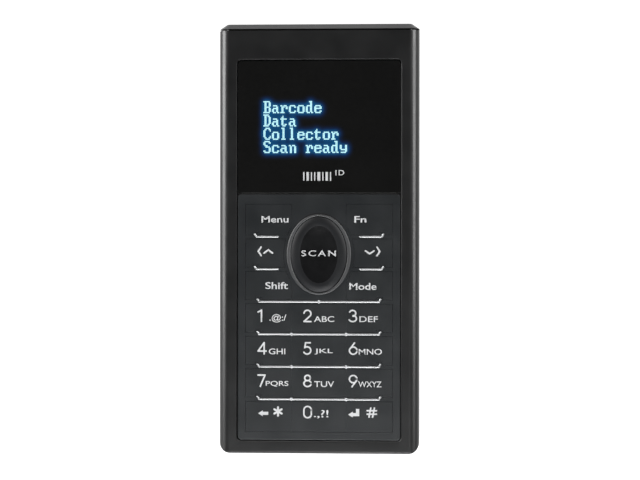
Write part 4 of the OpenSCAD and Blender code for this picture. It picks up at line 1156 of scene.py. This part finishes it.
@dataclass
class Display:
    """The dark pane, the lit dots behind it, their halo and the small printed mark."""

    lines: tuple[str, ...] = ("Barcode", "Data", "Collector", "Scan ready")
    pitch: float = 0.27 * MM
    advance: int = 8
    line_pitch: float = 3.38 * MM
    left: float = -14.05 * MM
    first_top: float = 34.85 * MM
    stretch: float = 1.28
    halo: float = 0.66 * MM
    halo_margin: float = 2.6 * MM
    halo_step: float = 0.25 * MM
    halo_fade: float = 1.2 * MM
    pane_round: float = 0.16 * MM
    mark_bars: tuple[float, ...] = (0.3, 0.6, 0.3, 0.3, 0.75, 0.3, 0.6, 0.3)

    def build(self) -> None:
        """Make the pane, the dots, the halo and the mark."""
        self.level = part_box("display_window")[1].z
        merged_copy("display_window", PANE, (
            Softening(self.pane_round, in_plane(2, self.level)),))
        centres = self._dot_centres()
        self._dots(centres)
        self._halo(centres)
        self._mark()

    def _dot_centres(self) -> np.ndarray:
        """Return the centre of every lit dot: column and row numbers times the pitch."""
        cells = []
        for number, text in enumerate(self.lines):
            for place, letter in enumerate(text):
                if letter == " ":
                    continue
                lit = np.array([list(row) for row in LETTERS[letter].split()]) == "#"
                row, column = np.nonzero(lit)
                x = self.left + (column + place * self.advance) * self.pitch
                y = self.first_top - number * self.line_pitch - row * self.pitch * self.stretch
                cells.append(np.column_stack([x, y]))
        return np.concatenate(cells)

    def _dots(self, centres: np.ndarray) -> None:
        """Make one low block for each dot: eight corners offset from its centre."""
        half = np.array([0.42 * self.pitch, 0.45 * self.pitch * self.stretch, 0.004 * MM])
        signs = np.array([(-1, -1, -1), (1, -1, -1), (1, 1, -1), (-1, 1, -1),
                          (-1, -1, 1), (1, -1, 1), (1, 1, 1), (-1, 1, 1)])
        base = np.column_stack([centres, np.full(len(centres), self.level + 0.016 * MM)])
        points = (base[:, None, :] + signs[None] * half).reshape(-1, 3)
        block = np.array([(3, 2, 1, 0), (4, 5, 6, 7), (0, 1, 5, 4), (1, 2, 6, 5),
                          (2, 3, 7, 6), (3, 0, 4, 7)])
        faces = (np.arange(len(centres))[:, None, None] * 8 + block[None]).reshape(-1, 4)
        make_piece("display_dots", points, faces.tolist(), DOTS, BODY, "display_glass", False)

    def _halo(self, centres: np.ndarray) -> None:
        """Make the sheet that glows round the dots.

        The glow at a point is one less the product, over all dots, of one less a
        Gaussian of the distance to the dot, so it saturates between close dots. It
        fades out in a straight line towards the sheet's edge.

        Args:
            centres: The dots' centres, as (dot, 2).
        """
        low, high = centres.min(0) - self.halo_margin, centres.max(0) + self.halo_margin
        xs = np.arange(low[0], high[0], self.halo_step)
        ys = np.arange(low[1], high[1], self.halo_step)
        gx, gy = np.meshgrid(xs, ys)
        away = (gx[..., None] - centres[:, 0]) ** 2 + (gy[..., None] - centres[:, 1]) ** 2
        dark = np.log1p(-0.22 * np.exp(-away / (2 * self.halo**2))).sum(-1)
        glow = 1 - np.exp(dark)
        edge = np.minimum.reduce([gx - xs[0], xs[-1] - gx, gy - ys[0], ys[-1] - gy])
        glow *= np.clip(edge / self.halo_fade, 0, 1)
        top = np.stack([gx, gy, np.full(gx.shape, self.level + 0.007 * MM)], -1)
        under = top - (0, 0, 0.004 * MM)
        rows, columns = gx.shape
        quads = grid_quads(rows, columns, wrap=False)
        count = rows * columns
        rim = np.concatenate([
            np.arange(columns), np.arange(1, rows) * columns + columns - 1,
            (rows - 1) * columns + np.arange(columns - 2, -1, -1),
            np.arange(rows - 2, 0, -1) * columns])
        turned = np.roll(rim, -1)
        sides = np.column_stack([rim, turned, turned + count, rim + count])
        faces = quads.tolist() + (quads[:, ::-1] + count).tolist() + sides.tolist()
        piece = make_piece("display_halo", np.concatenate([top, under]).reshape(-1, 3), faces,
                           PANE, BODY, "display_glass", smooth=False)
        values = piece.data.attributes.new("glow", "FLOAT", "POINT")
        values.data.foreach_set("value", np.tile(glow.ravel(), 2).astype(np.float32))
        piece.data.materials.clear()
        piece.data.materials.append(self._halo_material())

    @staticmethod
    def _halo_material() -> bpy.types.Material:
        """Return the pane's finish with blue light in proportion to the glow attribute."""
        made = PANE.material().copy()
        made.name = "display_halo"
        nodes, links = made.node_tree.nodes, made.node_tree.links
        shader = nodes["Principled BSDF"]
        reader = nodes.new("ShaderNodeAttribute")
        reader.attribute_name = "glow"
        ramp = nodes.new("ShaderNodeValToRGB")
        stops = ramp.color_ramp.elements
        stops[0].position, stops[0].color = 0.0, (0.0, 0.0, 0.0, 1.0)
        stops[1].position, stops[1].color = 1.0, (0.0, 0.082, 0.23, 1.0)
        middle = stops.new(0.45)
        middle.color = (0.0, 0.014, 0.06, 1.0)
        links.new(reader.outputs["Fac"], ramp.inputs["Fac"])
        links.new(ramp.outputs["Color"], shader.inputs["Emission Color"])
        shader.inputs["Emission Strength"].default_value = 1.0
        return made

    def _mark(self) -> None:
        """Print a plain row of bars and a small sign at the pane's lower right."""
        ink = Ink(self.level)
        base, height, left, gap = 14.75 * MM, 2.2 * MM, -4.0 * MM, 0.52 * MM
        for width in self.mark_bars:
            right = left + width * MM
            ink.shape(block_outline(left, base, right, base + height))
            left = right + gap
        ink.word("1D", 4.2 * MM, base + 1.35 * MM, 2.2 * MM, 1.35 * MM, 0.01)
        ink.piece("window_mark", INK, BODY, "label_film")


@dataclass
class RatingLabel:
    """The film label in the back, with rules and a bar pattern but no words."""

    sunk: float = 0.021 * MM
    rules: int = 6
    rule_pitch: float = 2.4 * MM
    rule_height: float = 0.7 * MM
    rule_lengths: tuple[float, float] = (0.9, 3.4)
    bars_low: float = 3.5 * MM
    bars_high: float = 9.5 * MM
    seed: int = 4

    def build(self) -> None:
        """Print broken rules like lines of text, then a row of upright bars."""
        low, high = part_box("rating_label")
        ink = Ink(low.z - self.sunk)
        width = high.x - low.x
        rng = np.random.default_rng(self.seed)
        for row in range(self.rules):
            y = high.y - 4 * MM - row * self.rule_pitch
            start = low.x + 3 * MM
            while start < low.x + width * (0.9 if row % 2 else 0.72):
                length = rng.uniform(*self.rule_lengths) * MM
                ink.shape(block_outline(start, y, start + length, y + self.rule_height))
                start += length + 0.6 * MM
        start = low.x + 4 * MM
        while start < high.x - 5 * MM:
            thick = rng.choice([0.18, 0.34, 0.5]) * MM
            ink.shape(block_outline(
                start, low.y + self.bars_low, start + thick, low.y + self.bars_high))
            start += thick + rng.choice([0.2, 0.36]) * MM
        ink.piece("label_print", LABEL_INK, BODY, "label_film")


# --------------------------------------------------------------------------- the stage


@dataclass(frozen=True)
class Softbox:
    """A rectangular area light that faces the device."""

    name: str
    place: tuple[float, float, float]
    size: tuple[float, float]
    power: float
    sheen_only: bool = False

    def build(self) -> None:
        """Hang the light and turn it to the device's middle."""
        light = bpy.data.lights.new(self.name, "AREA")
        light.shape = "RECTANGLE"
        light.size, light.size_y = self.size
        light.energy = self.power
        holder = bpy.data.objects.new(self.name, light)
        holder.location = self.place
        holder.visible_camera = False
        holder.visible_diffuse = not self.sheen_only
        aim = Vector((0, 0, 10 * MM)) - Vector(self.place)
        holder.rotation_euler = aim.to_track_quat("-Z", "Y").to_euler()
        bpy.context.scene.collection.objects.link(holder)


@dataclass
class Stage:
    """The floor, the lights, the dim room and the camera."""

    floor_half: float = 2.5
    floor_drop: float = 0.02 * MM
    room: float = 0.055
    sensor: float = 36.0
    lens: float = 106.4
    eye: tuple[float, float, float] = (0.02678, 0.00063, 0.5)
    eye_turn: tuple[float, float, float] = (-0.112, 3.16, 0.045)
    lights: tuple[Softbox, ...] = (
        Softbox("tail_key", (0.05, -0.62, 0.5), (0.6, 0.3), 8.2),
        Softbox("tail_sheen", (0.0, -0.27, 0.5), (0.3, 0.1), 1.15, sheen_only=True),
        Softbox("left_strip", (-0.6, 0.28, 0.31), (0.7, 0.34), 13.5, sheen_only=True),
        Softbox("right_strip", (0.5, 0.28, 0.42), (0.7, 0.22), 9.0, sheen_only=True),
        Softbox("nose_strip", (0.0, 0.75, 0.12), (0.9, 0.2), 2.5, sheen_only=True),
    )

    def build(self) -> None:
        """Set up the stage."""
        self._floor()
        for light in self.lights:
            light.build()
        world = bpy.data.worlds.new("room")
        world.use_nodes = True
        world.node_tree.nodes["Background"].inputs["Color"].default_value = (1, 1, 1, 1)
        world.node_tree.nodes["Background"].inputs["Strength"].default_value = self.room
        bpy.context.scene.world = world
        bpy.context.scene.view_settings.view_transform = "Standard"
        self._camera()

    def _floor(self) -> None:
        """Lay a plain pale floor under the device."""
        half = self.floor_half
        mesh = bpy.data.meshes.new("floor")
        corners = [(x, y, 0) for x, y in block_outline(-half, -half, half, half)]
        mesh.from_pydata(corners, [], [(0, 1, 2, 3)])
        floor = bpy.data.objects.new("floor", mesh)
        bpy.context.scene.collection.objects.link(floor)
        floor.location.z = -self.floor_drop
        paper = Finish("floor_paper", (0.35, 0.35, 0.35), 0.9, grain_size=2 * MM,
                       grain_depth=0.002 * MM, mottle=0.01, glow=(1.0, 1.0, 1.0),
                       glow_strength=1.0)
        mesh.materials.append(paper.material())

    def _camera(self) -> None:
        """Look down on the front face from half a metre, a little to the right."""
        lens = bpy.data.cameras.new("camera")
        lens.sensor_width = self.sensor
        lens.lens = self.lens
        camera = bpy.data.objects.new("camera", lens)
        camera.location = self.eye
        camera.rotation_euler = [math.radians(turn) for turn in self.eye_turn]
        bpy.context.scene.collection.objects.link(camera)
        bpy.context.scene.camera = camera


def dress_nodes() -> None:
    """Give every CAD node that shows the finish of its slot."""
    for subpart in frame["record"]["subparts"]:
        node = NODES[subpart["node"]]
        finish = SLOT_FINISHES[subpart["material_slot"]].material()
        if not node.data.materials:
            node.data.materials.append(finish)
        for slot in node.material_slots:
            slot.material = finish
        log.info("%s dressed as %s", node.name, finish.name)


def main() -> None:
    """Build the device's looks piece by piece, then the stage."""
    logging.basicConfig(level=logging.INFO, format="%(name)s: %(message)s")
    dress_nodes()
    pad = Keypad()
    assemblies = (
        Case(), pad, KeyMat(), ScanKey(), Legends(pad), Display(), RatingLabel(), Stage())
    for assembly in assemblies:
        assembly.build()
        log.info("%s done", type(assembly).__name__)


if __name__ == "__main__":
    main()
